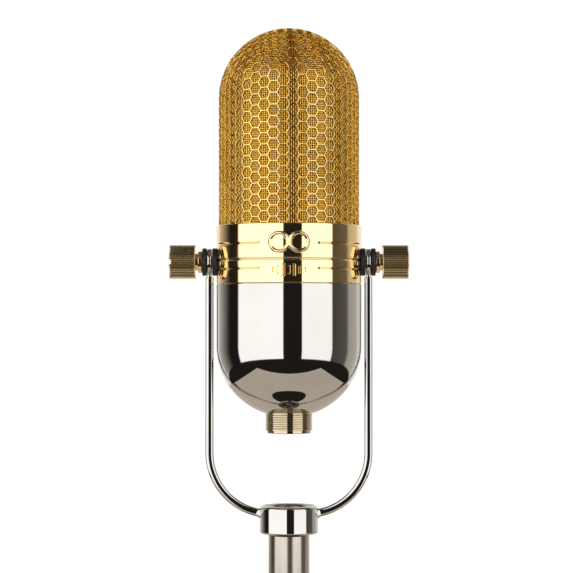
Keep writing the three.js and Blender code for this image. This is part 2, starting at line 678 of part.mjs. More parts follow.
/** Knurled clamping screw with a stepped neck and a slot across its end. */
function thumbscrew(side, slotTurn) {
  const { knobR, knobFrom, knobTo, ridges, ridgeDepth, slotWidth, slotDepth } = SCREW;
  const outline = polygon(Array.from({ length: ridges * 2 }, (_, i) => {
    const angle = FULL_TURN * i / (ridges * 2);
    const radius = i % 2 === 0 ? knobR : knobR - ridgeDepth;
    return [radius * Math.cos(angle), radius * Math.sin(angle)];
  }));
  const knob = plateXY(outline, knobFrom, knobTo);
  const stem = turned([
    [0, SCREW.shankFrom], [SCREW.shankR, SCREW.shankFrom], [SCREW.shankR, SCREW.flangeFrom],
    [SCREW.flangeR, SCREW.flangeFrom], [SCREW.flangeR, SCREW.neckFrom], [SCREW.neckR, SCREW.neckFrom],
    [SCREW.neckR, knobFrom + 1], [0, knobFrom + 1],
  ], SMALL_SIDES);
  const slot = block([-slotWidth / 2, -knobR - 1, knobTo - slotDepth], [slotWidth / 2, knobR + 1, knobTo + 1]);
  return alongX(cut(join(knob, stem), slot.rotateZ(slotTurn)), side);
}

function thumbscrews() {
  return [
    part('thumbscrew_left', thumbscrew(-1, 0), FINISH.gold),
    part('thumbscrew_right', thumbscrew(1, Math.PI / 3), FINISH.gold),
  ];
}

// Stand post ----------------------------------------------------------------------------------

/** Short extension post: threaded stub above its shoulder, threaded socket in its lower end. */
function standPost() {
  const { r, shoulder, shoulderEdge, stubR, stubTop, stubChamfer, socketR, socketDepth, bottom } = POST;
  return part('stand_post', turned([
    [0, bottom + socketDepth], [socketR, bottom + socketDepth], [socketR, bottom], [r, bottom],
    [r, shoulder - shoulderEdge], [r - shoulderEdge, shoulder], [stubR, shoulder],
    [stubR, stubTop - stubChamfer], [stubR - stubChamfer, stubTop], [0, stubTop],
  ], SMALL_SIDES), FINISH.nickel);
}

// Assembly ------------------------------------------------------------------------------------

const microphone = new THREE.Group();
microphone.position.z = PIVOT_Z;
microphone.add(
  ...grille(), band(), ...pivotInserts(), lowerCup(),
  connectorShell(), ...connectorInner(), connectorNut(),
  ...chassis(), ...isolators(), ...ribbonMotor(),
  ...board(), ...transformer(), ...motorLeads(), ...outputLeads(),
  ...washers('inner', WASHER.innerFrom, WASHER.innerTo),
  ...washers('outer', WASHER.outerFrom, WASHER.outerTo),
  ...thumbscrews(), ...yoke(), standPost(),
);

const assembly = new THREE.Group();
assembly.add(microphone);

export default assembly;
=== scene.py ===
import json
import math

import bpy
import numpy as np
from mathutils import Matrix, Vector


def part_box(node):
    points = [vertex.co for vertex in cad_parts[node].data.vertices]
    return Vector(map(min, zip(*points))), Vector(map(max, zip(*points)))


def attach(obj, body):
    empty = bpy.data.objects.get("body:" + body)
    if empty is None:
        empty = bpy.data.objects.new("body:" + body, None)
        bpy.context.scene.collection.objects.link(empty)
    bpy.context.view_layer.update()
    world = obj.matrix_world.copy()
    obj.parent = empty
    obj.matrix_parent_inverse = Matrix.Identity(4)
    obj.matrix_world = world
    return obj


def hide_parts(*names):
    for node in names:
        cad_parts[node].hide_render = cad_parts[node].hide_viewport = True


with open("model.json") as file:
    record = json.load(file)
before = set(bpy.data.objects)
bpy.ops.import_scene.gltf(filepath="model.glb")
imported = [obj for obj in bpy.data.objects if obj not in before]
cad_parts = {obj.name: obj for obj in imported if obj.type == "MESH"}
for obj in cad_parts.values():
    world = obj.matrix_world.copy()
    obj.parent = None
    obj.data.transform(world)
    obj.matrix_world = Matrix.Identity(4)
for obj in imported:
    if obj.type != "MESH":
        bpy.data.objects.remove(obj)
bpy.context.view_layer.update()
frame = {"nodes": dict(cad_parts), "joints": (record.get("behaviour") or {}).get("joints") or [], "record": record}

# Ribbon microphone: the looks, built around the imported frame. The frame is in metres, +Z up, with the
# front towards -Y. Shapes below are worked out in millimetres in the same frame and turned to metres
# by mesh_object.

MM = 0.001
TURN = 2 * math.pi
FINE_SIDES = 256                      # facets of mirror-finished bodies
SIDES = 128                           # facets of smaller turned pieces
HOLE_SIDES = 64

# Sizes read from the frame --------------------------------------------------------------------


def low(node):
    """Lowest corner of a CAD node, in millimetres."""
    return [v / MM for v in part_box(node)[0]]


def high(node):
    """Highest corner of a CAD node, in millimetres."""
    return [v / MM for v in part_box(node)[1]]


JOINTS = {joint["name"]: joint for joint in frame["joints"]}
PIVOT_Z = JOINTS["mic_tilt"]["pos_m"][2] / MM

BODY_R = high("band")[0]
BAND_BOTTOM, BAND_TOP = low("band")[2], high("band")[2]
CUP_BOTTOM, CUP_TOP = low("lower_cup")[2], high("lower_cup")[2]
GRILLE_R = high("grille_basket")[0]
GRILLE_FOOT, GRILLE_APEX = low("grille_basket")[2], high("grille_basket")[2]
DOME_Z = GRILLE_APEX - GRILLE_R
LINING_R = high("grille_lining")[0]
COLLAR_R = high("stand_collar")[0]
COLLAR_BOTTOM, COLLAR_TOP = low("stand_collar")[2], high("stand_collar")[2]
COLLAR_BORE = 7.75
POST_R = high("stand_post")[0]
POST_TOP = high("stand_post")[2]
SHELL_R = high("connector_shell")[0]
SHELL_BOTTOM, SHELL_TOP = low("connector_shell")[2], high("connector_shell")[2]
KNOB_R = high("thumbscrew_right")[2] - PIVOT_Z
KNOB_END = high("thumbscrew_right")[0]
SHANK_END = low("thumbscrew_right")[0]

# Meshes ---------------------------------------------------------------------------------------


def mesh_object(name, points, faces, sharp_degrees=35):
    """A smooth-shaded object from points in millimetres."""
    mesh = bpy.data.meshes.new(name)
    mesh.from_pydata((np.asarray(points, float) * MM).tolist(), [], faces)
    mesh.shade_smooth()
    mesh.set_sharp_from_angle(angle=math.radians(sharp_degrees))
    piece = bpy.data.objects.new(name, mesh)
    bpy.context.scene.collection.objects.link(piece)
    return piece


def compacted(name, points, faces, sharp_degrees):
    """A mesh object without the points that no face uses."""
    used = sorted({v for face in faces for v in face})
    number = {v: i for i, v in enumerate(used)}
    points = np.asarray(points, float)[used]
    return mesh_object(name, points, [[number[v] for v in face] for face in faces], sharp_degrees)


def row_quads(index, closed=False):
    """Faces between neighbouring rows of point numbers, each row a closed ring. The last row also
    joins the first where closed."""
    upper = np.roll(index, -1, 0) if closed else index[1:]
    lower = index if closed else index[:-1]
    return np.stack([lower, np.roll(lower, -1, 1), np.roll(upper, -1, 1), upper], -1).reshape(-1, 4)


def cut_away(piece, cutter):
    """Cuts one piece by another, which goes."""
    cut = piece.modifiers.new("cut", "BOOLEAN")
    cut.operation = "DIFFERENCE"
    cut.solver = "EXACT"
    cut.object = cutter
    graph = bpy.context.evaluated_depsgraph_get()
    mesh = bpy.data.meshes.new_from_object(piece.evaluated_get(graph))
    piece.modifiers.clear()
    piece.data = mesh
    bpy.data.objects.remove(cutter)
    mesh.shade_smooth()
    mesh.set_sharp_from_angle(angle=math.radians(30))
    return piece


def arc(centre, radius, start, end, steps, depth=None):
    """Points of an arc in the (radius, height) plane, angles in degrees from the horizontal. It is
    part of an ellipse where a depth is given."""
    angles = np.radians(np.linspace(start, end, steps + 1))
    depth = depth or radius
    return [(centre[0] + radius * math.cos(a), centre[1] + depth * math.sin(a)) for a in angles]


def rounded(corners, steps=6, support=0.12):
    """A closed profile from (radius, height, fillet) corners. Each fillet has a support point beside
    it, so that reflections stay straight on the long faces."""
    points = []
    for i, (r, z, fillet) in enumerate(corners):
        here = Vector((r, z))
        if not fillet:
            points.append(here)
            continue
        back = (Vector(corners[i - 1][:2]) - here).normalized()
        ahead = (Vector(corners[(i + 1) % len(corners)][:2]) - here).normalized()
        half = back.angle(ahead) / 2
        reach = fillet / math.tan(half)
        middle = here + (back + ahead).normalized() * fillet / math.sin(half)
        start, end = here + back * reach - middle, here + ahead * reach - middle
        points.append(middle + start + back * support)
        for k in range(steps + 1):
            points.append(middle + start.lerp(end, k / steps).normalized() * fillet)
        points.append(middle + end + ahead * support)
    return [(p[0], p[1]) for p in points]


def stepped(start, end, step):
    """Points along a straight stretch of a profile, about a step apart."""
    count = max(2, math.ceil(math.dist(start, end) / step) + 1)
    return list(zip(np.linspace(start[0], end[0], count), np.linspace(start[1], end[1], count)))


def lathe(name, profile, sides=SIDES, relief=None, angles=None, closed=True, sharp_degrees=35):
    """Turns a (radius, height) profile about Z, with the material on its left. relief(radius, height,
    angle) gives how far the surface stands out from the profile."""
    angles = np.arange(sides) * TURN / sides if angles is None else np.asarray(angles)
    r, z = np.array(profile, float).T
    radius = np.repeat(r[:, None], len(angles), 1)
    height = np.repeat(z[:, None], len(angles), 1)
    turn = np.repeat(angles[None, :], len(r), 0)
    if relief is not None:
        radius = radius + relief(radius, height, turn)
    points = np.stack([radius * np.cos(turn), radius * np.sin(turn), height], -1).reshape(-1, 3)
    index = np.arange(len(points)).reshape(len(r), len(angles))
    on_axis = r < 1e-6
    index[on_axis] = index[on_axis][:, :1]
    faces = []
    for quad in row_quads(index, closed).tolist():
        face = [v for k, v in enumerate(quad) if v != quad[k - 1]]
        if len(face) > 2:
            faces.append(face)
    return compacted(name, points, faces, sharp_degrees)


def along_x(piece, side, turn=0.0):
    """Lays a piece made about Z along the tilt axis, its top towards +X (side 1) or -X (side -1)."""
    place = Matrix.Translation((0, 0, PIVOT_Z * MM)) @ Matrix.Rotation(side * math.pi / 2, 4, "Y")
    piece.data.transform(place @ Matrix.Rotation(turn, 4, "Z"))
    return piece


def smooth_step(value):
    """0 below 0, 1 above 1 and smooth between."""
    t = np.clip(value, 0, 1)
    return t * t * (3 - 2 * t)


def thread(pitch, depth, bottom, top, near_radius):
    """Relief of a helical thread cut into the wall near one radius, between two heights."""
    def relief(radius, height, turn):
        phase = (height / pitch - turn / TURN) % 1
        cut = depth * smooth_step((0.30 - np.abs(phase - 0.5)) / 0.22)
        ends = smooth_step((height - bottom) / (0.6 * pitch)) * smooth_step((top - height) / (0.6 * pitch))
        return np.where(np.abs(radius - near_radius) < 0.05, -cut * ends, 0)
    return relief


# Materials ------------------------------------------------------------------------------------


def fill(tree, node, inputs):
    """Sets a node's inputs, each to a constant or to another node's output."""
    for key, value in inputs.items():
        socket = node.inputs[key]
        if isinstance(value, bpy.types.NodeSocket):
            tree.links.new(value, socket)
        else:
            socket.default_value = value


def new_node(tree, kind, inputs=None, **settings):
    """A shader node with its settings and inputs."""
    node = tree.nodes.new("ShaderNode" + kind)
    for key, value in settings.items():
        setattr(node, key, value)
    fill(tree, node, inputs or {})
    return node


def calculated(tree, operation, *values):
    """The result of a Math node."""
    return new_node(tree, "Math", dict(enumerate(values)), operation=operation).outputs[0]


def moved_vector(tree, operation, *values):
    """The result of a Vector Math node that gives a vector."""
    return new_node(tree, "VectorMath", dict(enumerate(values)), operation=operation).outputs[0]


def vector_length(tree, vector):
    return new_node(tree, "VectorMath", {0: vector}, operation="LENGTH").outputs["Value"]


def blended(tree, factor, first, second):
    """The colour between two, first where the factor is 0."""
    inputs = {0: factor, 6: first, 7: second}
    return new_node(tree, "Mix", inputs, data_type="RGBA").outputs[2]


class Shader:
    """A procedural material: a Principled shader and the nodes that vary it over the surface."""

    def __init__(self, name, **sockets):
        self.material = bpy.data.materials.new(name)
        self.material.use_nodes = True
        self.tree = self.material.node_tree
        self.surface = self.tree.nodes["Principled BSDF"]
        self.finish(**sockets)
        self.place = self.node("TexCoord").outputs["Object"]

    def node(self, kind, inputs=None, **settings):
        return new_node(self.tree, kind, inputs, **settings)

    def stretched(self, scale):
        """The object's coordinates times a scale for each axis."""
        return moved_vector(self.tree, "MULTIPLY", self.place, scale)

    def noise(self, scale, detail=3.0, place=None):
        inputs = {"Vector": place or self.place, "Scale": scale, "Detail": detail}
        return self.node("TexNoise", inputs).outputs["Fac"]

    def spread(self, value, low_in, high_in, low_out=0.0, high_out=1.0):
        """Maps a value smoothly from one range to another."""
        inputs = {"Value": value, 1: low_in, 2: high_in, 3: low_out, 4: high_out}
        return self.node("MapRange", inputs, interpolation_type="SMOOTHSTEP").outputs[0]

    def waves(self, direction, scale, distortion=0.0):
        """Even lines across one axis."""
        inputs = {"Vector": self.place, "Scale": scale, "Distortion": distortion}
        return self.node("TexWave", inputs, bands_direction=direction).outputs["Fac"]

    def blend(self, factor, first, second):
        return blended(self.tree, factor, first, second)

    def bump(self, height, distance, strength):
        inputs = {"Height": height, "Distance": distance, "Strength": strength}
        return self.node("Bump", inputs).outputs["Normal"]

    def finish(self, **sockets):
        """Sets sockets of the Principled shader, named with _ for each space."""
        fill(self.tree, self.surface, {name.replace("_", " "): value for name, value in sockets.items()})
        return self.material


def rgb(r, g, b):
    return (r, g, b, 1.0)


def scaled(colour, factor):
    return rgb(*(c * factor for c in colour[:3]))


def polished(name, colour, rough=(0.03, 0.10), dull=0.9, marks=0.6, edge=(1, 1, 1, 1)):
    """Mirror-polished plate: faint smudges, wipe marks and a slightly deeper tone in places."""
    shader = Shader(name, Metallic=1.0, Specular_Tint=edge)
    smudge = shader.noise(55.0, 5.0)
    wipe = shader.noise(260.0, 2.0, shader.stretched((1.0, 1.0, 9.0)))
    tone = shader.blend(shader.spread(smudge, 0.35, 0.75), colour, scaled(colour, dull))
    haze = shader.spread(smudge, 0.45, 0.8, rough[0], rough[1])
    lines = shader.bump(wipe, 0.00001, marks * 0.02)
    return shader.finish(Base_Color=tone, Roughness=haze, Normal=lines)


def brushed(name, colour, rough=(0.22, 0.36), dull=0.8, depth=0.00003, relief=0.25):
    """Turned or satin metal: fine lines round the piece and an uneven sheen."""
    shader = Shader(name, Metallic=1.0)
    grain = shader.noise(120.0, 4.0, shader.stretched((1.0, 1.0, 40.0)))
    patch = shader.noise(60.0, 3.0)
    tone = shader.blend(shader.spread(patch, 0.3, 0.75), colour, scaled(colour, dull))
    haze = shader.spread(grain, 0.3, 0.7, rough[0], rough[1])
    return shader.finish(Base_Color=tone, Roughness=haze, Normal=shader.bump(grain, depth, relief))


def moulded(name, colour, rough=(0.35, 0.55), grain_scale=900.0, depth=0.00004):
    """Moulded plastic or rubber: fine grain, dust and slightly paler rubbed places."""
    shader = Shader(name)
    patch = shader.noise(90.0, 4.0)
    grain = shader.noise(grain_scale, 2.0)
    pale = rgb(*(c * 1.6 + 0.006 for c in colour[:3]))
    tone = shader.blend(shader.spread(patch, 0.45, 0.8), colour, pale)
    haze = shader.spread(patch, 0.3, 0.7, rough[0], rough[1])
    return shader.finish(Base_Color=tone, Roughness=haze, Normal=shader.bump(grain, depth, 0.5))


def lined(shader, lines, colour, dark, rough, depth, strength):
    """Finishes a material from fine lines: raised, smoother and in full colour on them."""
    # Between the lines the colour is darkened by the factor dark. On the wire cloth and the winding this is
    # painted shade in the gaps and creases between the wires. On the core plates it stands for the dark joints
    # between them.
    tone = shader.blend(lines, scaled(colour, dark), colour)
    haze = shader.spread(lines, 0.0, 1.0, *rough)
    return shader.finish(Base_Color=tone, Roughness=haze, Normal=shader.bump(lines, depth, strength))


def screen_cloth(name, colour, pitch=0.0004):
    """Very fine wire cloth seen as a surface: crossing lines."""
    shader = Shader(name, Metallic=0.3)
    crossing = [shader.waves(direction, 0.05 / pitch) for direction in "ZX"]
    cloth = calculated(shader.tree, "MULTIPLY", *crossing)
    # Away from the wire crossings the colour drops to 0.35 of itself: painted shade in the cloth's openings.
    return lined(shader, cloth, colour, 0.35, (0.75, 0.5), 0.00005, 0.4)


def laminated(name, colour):
    """Stacked core plates: thin lines across Y."""
    shader = Shader(name, Metallic=0.9)
    return lined(shader, shader.waves("Y", 160.0), colour, 0.6, (0.6, 0.35), 0.00005, 0.5)


def wound(name, colour):
    """Enamelled winding: fine turns stacked along Z."""
    shader = Shader(name, Metallic=0.8)
    # Between the turns the colour drops to 0.45 of itself: painted shade in the creases between the wires.
    return lined(shader, shader.waves("Z", 220.0, 0.6), colour, 0.45, (0.5, 0.25), 0.00006, 0.6)


def bored_chrome(name, colour, inside, bore):
    """Polished outside, satin and warmer in a bore about Z and on the faces round it."""
    shader = Shader(name, Metallic=1.0)
    radius = vector_length(shader.tree, shader.stretched((1.0, 1.0, 0.0)))
    outside = shader.spread(radius, (bore + 3.3) * MM, (bore + 4.1) * MM)
    smudge = shader.noise(55.0, 5.0)
    tone = shader.blend(shader.spread(smudge, 0.35, 0.75), colour, scaled(colour, 0.92))
    satin = shader.blend(smudge, inside, scaled(inside, 0.7))
    haze = shader.spread(outside, 0.0, 1.0, 0.34, 0.04)
    wipe = shader.noise(260.0, 2.0, shader.stretched((1.0, 1.0, 9.0)))
    lines = shader.bump(wipe, 0.00001, 0.01)
    return shader.finish(Base_Color=shader.blend(outside, satin, tone), Roughness=haze, Normal=lines)


GOLD = rgb(0.96, 0.75, 0.42)
CHROME = rgb(0.56, 0.55, 0.53)
EDGE_GOLD = rgb(1.0, 0.66, 0.22)
MATERIALS = {
    "gold": polished("polished_gold", GOLD, dull=0.96),
    "gold_mesh": polished("woven_gold", rgb(1.0, 0.63, 0.11), (0.20, 0.32), 0.88, 1.0, EDGE_GOLD),
    "lining": screen_cloth("lining_cloth", rgb(0.95, 0.50, 0.09)),
    "chrome": polished("polished_chrome", CHROME, (0.02, 0.06), 0.94, 0.4),
    "satin_nickel": brushed("satin_nickel", rgb(0.47, 0.43, 0.38), (0.19, 0.25), 0.9, 0.000006, relief=0.1),
    "rubber": moulded("black_rubber", rgb(0.012, 0.012, 0.012), (0.45, 0.65)),
    "brass": brushed("turned_brass", rgb(0.72, 0.53, 0.27)),
    "contact_gold": polished("contact_gold", rgb(0.95, 0.72, 0.34), (0.12, 0.2)),
    "steel": brushed("zinc_steel", rgb(0.47, 0.47, 0.48)),
    "magnet": polished("magnet_nickel", rgb(0.5, 0.5, 0.5), (0.15, 0.3), 0.8),
    "ribbon_foil": brushed("ribbon_foil", rgb(0.88, 0.89, 0.90), (0.15, 0.25)),
    "insulator": moulded("black_insulator", rgb(0.02, 0.02, 0.021)),
    "board_green": moulded("board_green", rgb(0.03, 0.14, 0.06), (0.25, 0.4), 300.0),
    "copper": wound("copper_winding", rgb(0.62, 0.27, 0.11)),
    "wire_red": moulded("red_insulation", rgb(0.40, 0.02, 0.02), (0.3, 0.45)),
    "wire_black": moulded("black_insulation", rgb(0.015, 0.015, 0.015), (0.3, 0.45)),
    "wire_white": moulded("white_insulation", rgb(0.70, 0.68, 0.62), (0.3, 0.45)),
}
BASKET_GOLD = polished("basket_gold", rgb(1.0, 0.75, 0.31), (0.06, 0.13), 0.88, 1.0, EDGE_GOLD)
KNURL_GOLD = polished("knurled_gold", rgb(1.0, 0.82, 0.49), (0.10, 0.17), 0.8, 0.6)
COLLAR_CHROME = bored_chrome("collar_chrome", CHROME, rgb(0.40, 0.35, 0.28), COLLAR_BORE)
CONNECTOR_GOLD = polished("connector_gold", rgb(0.56, 0.47, 0.33), (0.05, 0.12), 0.9, 0.8)


def dress(piece, body, slot, material=None, replaces=()):
    """Gives a piece its finish, the given material or else that of its slot, puts it on its body and hides the CAD
    nodes that it stands for.
    """
    piece.data.materials.clear()
    piece.data.materials.append(material or MATERIALS[slot])
    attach(piece, body)
    if replaces:
        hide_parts(*replaces)
    return piece


def dress_frame_nodes():
    """The CAD nodes that stay get the finish of their slot."""
    for row in frame["record"]["subparts"]:
        node = frame["nodes"][row["node"]]
        for place in node.material_slots:
            place.material = MATERIALS[row["material_slot"]]
    core = frame["nodes"]["transformer_core"]
    for place in core.material_slots:
        place.material = laminated("core_plates", rgb(0.36, 0.36, 0.37))


# Camera, light and floor ----------------------------------------------------------------------

CAMERA_DISTANCE = 900.0
CAMERA_BELOW_PIVOT = 26.8
CAMERA_TILT_UP = 1.01
LENS = 126.4
SENSOR = 36.0
AIM_X = -1.1


def add_camera():
    data = bpy.data.cameras.new("camera")
    data.lens = LENS
    data.sensor_width = SENSOR
    data.clip_start = 0.01
    camera = bpy.data.objects.new("camera", data)
    camera.location = Vector((AIM_X, -CAMERA_DISTANCE, PIVOT_Z - CAMERA_BELOW_PIVOT)) * MM
    camera.rotation_euler = (math.radians(90 + CAMERA_TILT_UP), 0, 0)
    bpy.context.scene.collection.objects.link(camera)
    bpy.context.scene.camera = camera


# Azimuth seen from the object, from the camera's side (-Y) and positive towards +X, and the light
# that comes from there: two large softboxes with a dark gap, dark flags at the sides, white behind.
WHITE, WARM, DARK = (1.0, 0.99, 0.975), (1.0, 0.93, 0.82), (1.0, 0.88, 0.74)
ROOM = [
    (-180, 1.0, WHITE), (-147, 0.95, WHITE), (-141, 0.62, WARM), (-114, 0.10, DARK), (-107, 0.018, DARK),
    (-88, 0.018, DARK), (-85.5, 1.75, WHITE), (-9.6, 1.75, WHITE), (-8.4, 0.02, DARK), (19.8, 0.02, DARK),
    (21, 1.7, WHITE), (71, 1.7, WHITE), (72.5, 0.09, DARK), (103, 0.15, DARK), (110, 0.55, WARM),
    (132, 0.65, WARM), (143, 0.95, WHITE), (180, 1.0, WHITE),
]
ROOM_BRIGHTEST = 2.0
BOX_LOW, BOX_HIGH = -20.0, 40.0       # softboxes reach between these elevations, in degrees
BOX_LOW_SOFT, BOX_HIGH_SOFT = 1.0, 1.5
CEILING, ABYSS = 0.12, 0.02           # light above and below them


def room_light(level, tint):
    """A light level as a share of the room's brightest."""
    return (*[level * channel / ROOM_BRIGHTEST for channel in tint], 1)


def softbox_ring(tree, azimuth):
    """The ring of softboxes and flags, by azimuth."""
    inputs = {"Value": azimuth, 1: -math.pi, 2: math.pi, 3: 0.0, 4: 1.0}
    share = new_node(tree, "MapRange", inputs).outputs[0]
    ramp = new_node(tree, "ValToRGB", {0: share})
    stops = ramp.color_ramp.elements
    for i, (degrees, level, tint) in enumerate(ROOM):
        stop = stops[i] if i < 2 else stops.new(1.0)
        stop.position = (degrees + 180) / 360
        stop.color = room_light(level, tint)
    return ramp.outputs[0]


def past_elevation(tree, height, edge, soft, below, above):
    """One colour below an elevation in degrees and another above it."""
    ends = {1: math.radians(edge - soft), 2: math.radians(edge + soft), 3: 0.0, 4: 1.0}
    step = new_node(tree, "MapRange", {"Value": height, **ends}, interpolation_type="SMOOTHSTEP")
    return blended(tree, step.outputs[0], below, above)


def add_room():
    """Studio seen by reflections and diffuse light. The camera itself sees plain white."""
    world = bpy.data.worlds.new("studio")
    bpy.context.scene.world = world
    world.use_nodes = True
    tree = world.node_tree
    tree.nodes.clear()
    direction = new_node(tree, "TexCoord").outputs["Generated"]
    x, y, z = new_node(tree, "SeparateXYZ", {0: direction}).outputs
    azimuth = calculated(tree, "ARCTAN2", x, calculated(tree, "MULTIPLY", y, -1.0))
    height = calculated(tree, "ARCSINE", z)
    ring = softbox_ring(tree, azimuth)
    walls = past_elevation(tree, height, BOX_HIGH, BOX_HIGH_SOFT, ring, room_light(CEILING, WARM))
    room = past_elevation(tree, height, BOX_LOW, BOX_LOW_SOFT, room_light(ABYSS, DARK), walls)
    lit = new_node(tree, "Background", {0: room, 1: ROOM_BRIGHTEST})
    seen = new_node(tree, "Background", {0: (1, 1, 1, 1), 1: 1.0})
    path = new_node(tree, "LightPath").outputs["Is Camera Ray"]
    mixed = new_node(tree, "MixShader", {0: path, 1: lit.outputs[0], 2: seen.outputs[0]})
    new_node(tree, "OutputWorld", {0: mixed.outputs[0]})


FLOOR_R, FLOOR_DROP = 4000.0, 0.2
FLOOR_GREY, FLOOR_GLOW = 0.5, 0.85

# What reflections see of the floor: a table top with a bowed front edge, and the dark base of a stand.
TABLE_HALF_X, TABLE_FRONT, TABLE_BOW = 190.0, 152.0, 0.47
TABLE_GLOW = rgb(0.67, 0.575, 0.48)
BASE_HALF_X, BASE_HALF_Y, BASE_FORWARD = 46.0, 32.0, 20.0
BASE_EDGE = (0.94, 1.02)
BASE_TONE = rgb(0.02, 0.019, 0.016)


def inside_table(tree, x, y):
    """1 on the table top: between its sides and behind its bowed front edge."""
    width = calculated(tree, "ABSOLUTE", x)
    across = calculated(tree, "LESS_THAN", width, TABLE_HALF_X * MM)
    bow = calculated(tree, "POWER", width, 2.0)
    front = calculated(tree, "MULTIPLY_ADD", bow, TABLE_BOW, -TABLE_FRONT * MM)
    return calculated(tree, "MULTIPLY", across, calculated(tree, "GREATER_THAN", y, front))


def table_colour(tree, place):
    """The table's glow, dark within the ellipse of the stand's base."""
    from_base = moved_vector(tree, "SUBTRACT", place, (0.0, -BASE_FORWARD * MM, 0.0))
    ellipse = (1 / (BASE_HALF_X * MM), 1 / (BASE_HALF_Y * MM), 0.0)
    off_base = vector_length(tree, moved_vector(tree, "MULTIPLY", from_base, ellipse))
    inputs = {"Value": off_base, 1: BASE_EDGE[0], 2: BASE_EDGE[1], 3: 0.0, 4: 1.0}
    edge = new_node(tree, "MapRange", inputs).outputs[0]
    return blended(tree, edge, BASE_TONE, TABLE_GLOW)


def floor_material():
    """White with soft shadows for the camera. Reflections see only the table top and the base."""
    material = bpy.data.materials.new("floor")
    material.use_nodes = True
    tree = material.node_tree
    tree.nodes.clear()
    place = new_node(tree, "TexCoord").outputs["Object"]
    x, y, _ = new_node(tree, "SeparateXYZ", {0: place}).outputs
    white = new_node(tree, "BsdfDiffuse", {0: rgb(FLOOR_GREY, FLOOR_GREY, FLOOR_GREY)}).outputs[0]
    glow = new_node(tree, "Emission", {0: rgb(1, 1, 1), 1: FLOOR_GLOW}).outputs[0]
    seen = new_node(tree, "AddShader", {0: white, 1: glow}).outputs[0]
    clear = new_node(tree, "BsdfTransparent").outputs[0]
    table = new_node(tree, "Emission", {0: table_colour(tree, place), 1: 1.0}).outputs[0]
    choice = {0: inside_table(tree, x, y), 1: clear, 2: table}
    mirrored = new_node(tree, "MixShader", choice).outputs[0]
    path = new_node(tree, "LightPath").outputs["Is Camera Ray"]
    both = new_node(tree, "MixShader", {0: path, 1: mirrored, 2: seen}).outputs[0]
    new_node(tree, "OutputMaterial", {0: both})
    return material


def add_floor():
    floor = lathe("floor", [(0, 0), (FLOOR_R, 0)], 64, closed=False)
    floor.data.transform(Matrix.Translation((0, 0, -FLOOR_DROP * MM)))
    floor.data.flip_normals()
    floor.data.materials.append(floor_material())


# Grille ---------------------------------------------------------------------------------------

COLUMNS = 46
CELL_PITCH = 4.825                    # along a column
COLUMN_TURN = TURN / COLUMNS
MIDDLE_COLUMN, MIDDLE_AZIMUTH = 27, math.radians(3.15)
MIDDLE_CELL_Z = 55.2                  # a cell centre of the middle column, above the tilt axis
CAP_SIDES = (4, 4, 3, 5, 3, 4)        # sides of the flat patch that closes the top, in pairs of columns
ROWS_ABOVE = 7.5                      # from that cell to the patch's edge, in cells
STRAND = 0.52                         # width of the metal between two cells
STRAND_THICK = 0.5
MESH_R = GRILLE_R - 0.7
STRAND_SECTION = ((0.24, 0.015), (0.37, 0.06), (0.46, 0.16), (0.5, 0.30), (0.5, STRAND_THICK))


def on_grille(points, radius):
    """Moves points onto the grille's outer form: a cylinder with a round top."""
    points = np.array(points, float)
    above = points[:, 2] > DOME_Z
    away = points - np.where(above, DOME_Z, points[:, 2])[:, None] * np.array([0, 0, 1.0])
    away *= radius / np.linalg.norm(away, axis=1, keepdims=True)
    away[:, 2] += np.where(above, DOME_Z, points[:, 2])
    return away


def azimuth_place(azimuth, radius):
    """Position for an azimuth from the front (-Y), positive towards +X."""
    return radius * math.sin(azimuth), -radius * math.cos(azimuth)


def cap_patch():
    """Flat patch of the cell lattice inside the cap's hexagon: corners, inner cells and edge cells."""
    unit = math.sqrt(3)
    corners, directions = [np.zeros(2)], []
    for i, side in enumerate(CAP_SIDES):
        heading = math.radians(60 * i)
        directions.append(np.array([math.cos(heading), math.sin(heading)]))
        corners.append(corners[-1] + directions[-1] * side * unit)
    corners = corners[:-1]
    inward = [np.array([-d[1], d[0]]) for d in directions]
    reach = 4 * max(CAP_SIDES)
    inner = []
    for a in range(-reach, reach):
        for b in range(-2 * reach, 2 * reach):
            point = a * np.array([unit / 2, 0.5]) + b * np.array([0, 1.0])
            if all(np.dot(point - c, n) > 0.25 for c, n in zip(corners, inward)):
                inner.append(point)
    edge, straddle = [], []
    for corner, direction, normal, side in zip(corners, directions, inward, CAP_SIDES):
        for m in range(side):
            edge.append(corner + direction * m * unit)
            straddle.append(corner + direction * (m + 0.5) * unit + normal / 2)
    return np.array(inner), np.array(edge), np.array(straddle)


def flat_triangles(points):
    """Triangles of a flat triangular lattice, as index triples."""
    key = {(round(2 * x / math.sqrt(3)), round(2 * y)): i for i, (x, y) in enumerate(points)}
    found = []
    for (a, b), i in key.items():
        for first, second in (((1, 1), (0, 2)), ((0, 2), (-1, 1))):
            j = key.get((a + first[0], b + first[1]))
            k = key.get((a + second[0], b + second[1]))
            if j is not None and k is not None:
                found.append((i, j, k))
    return found


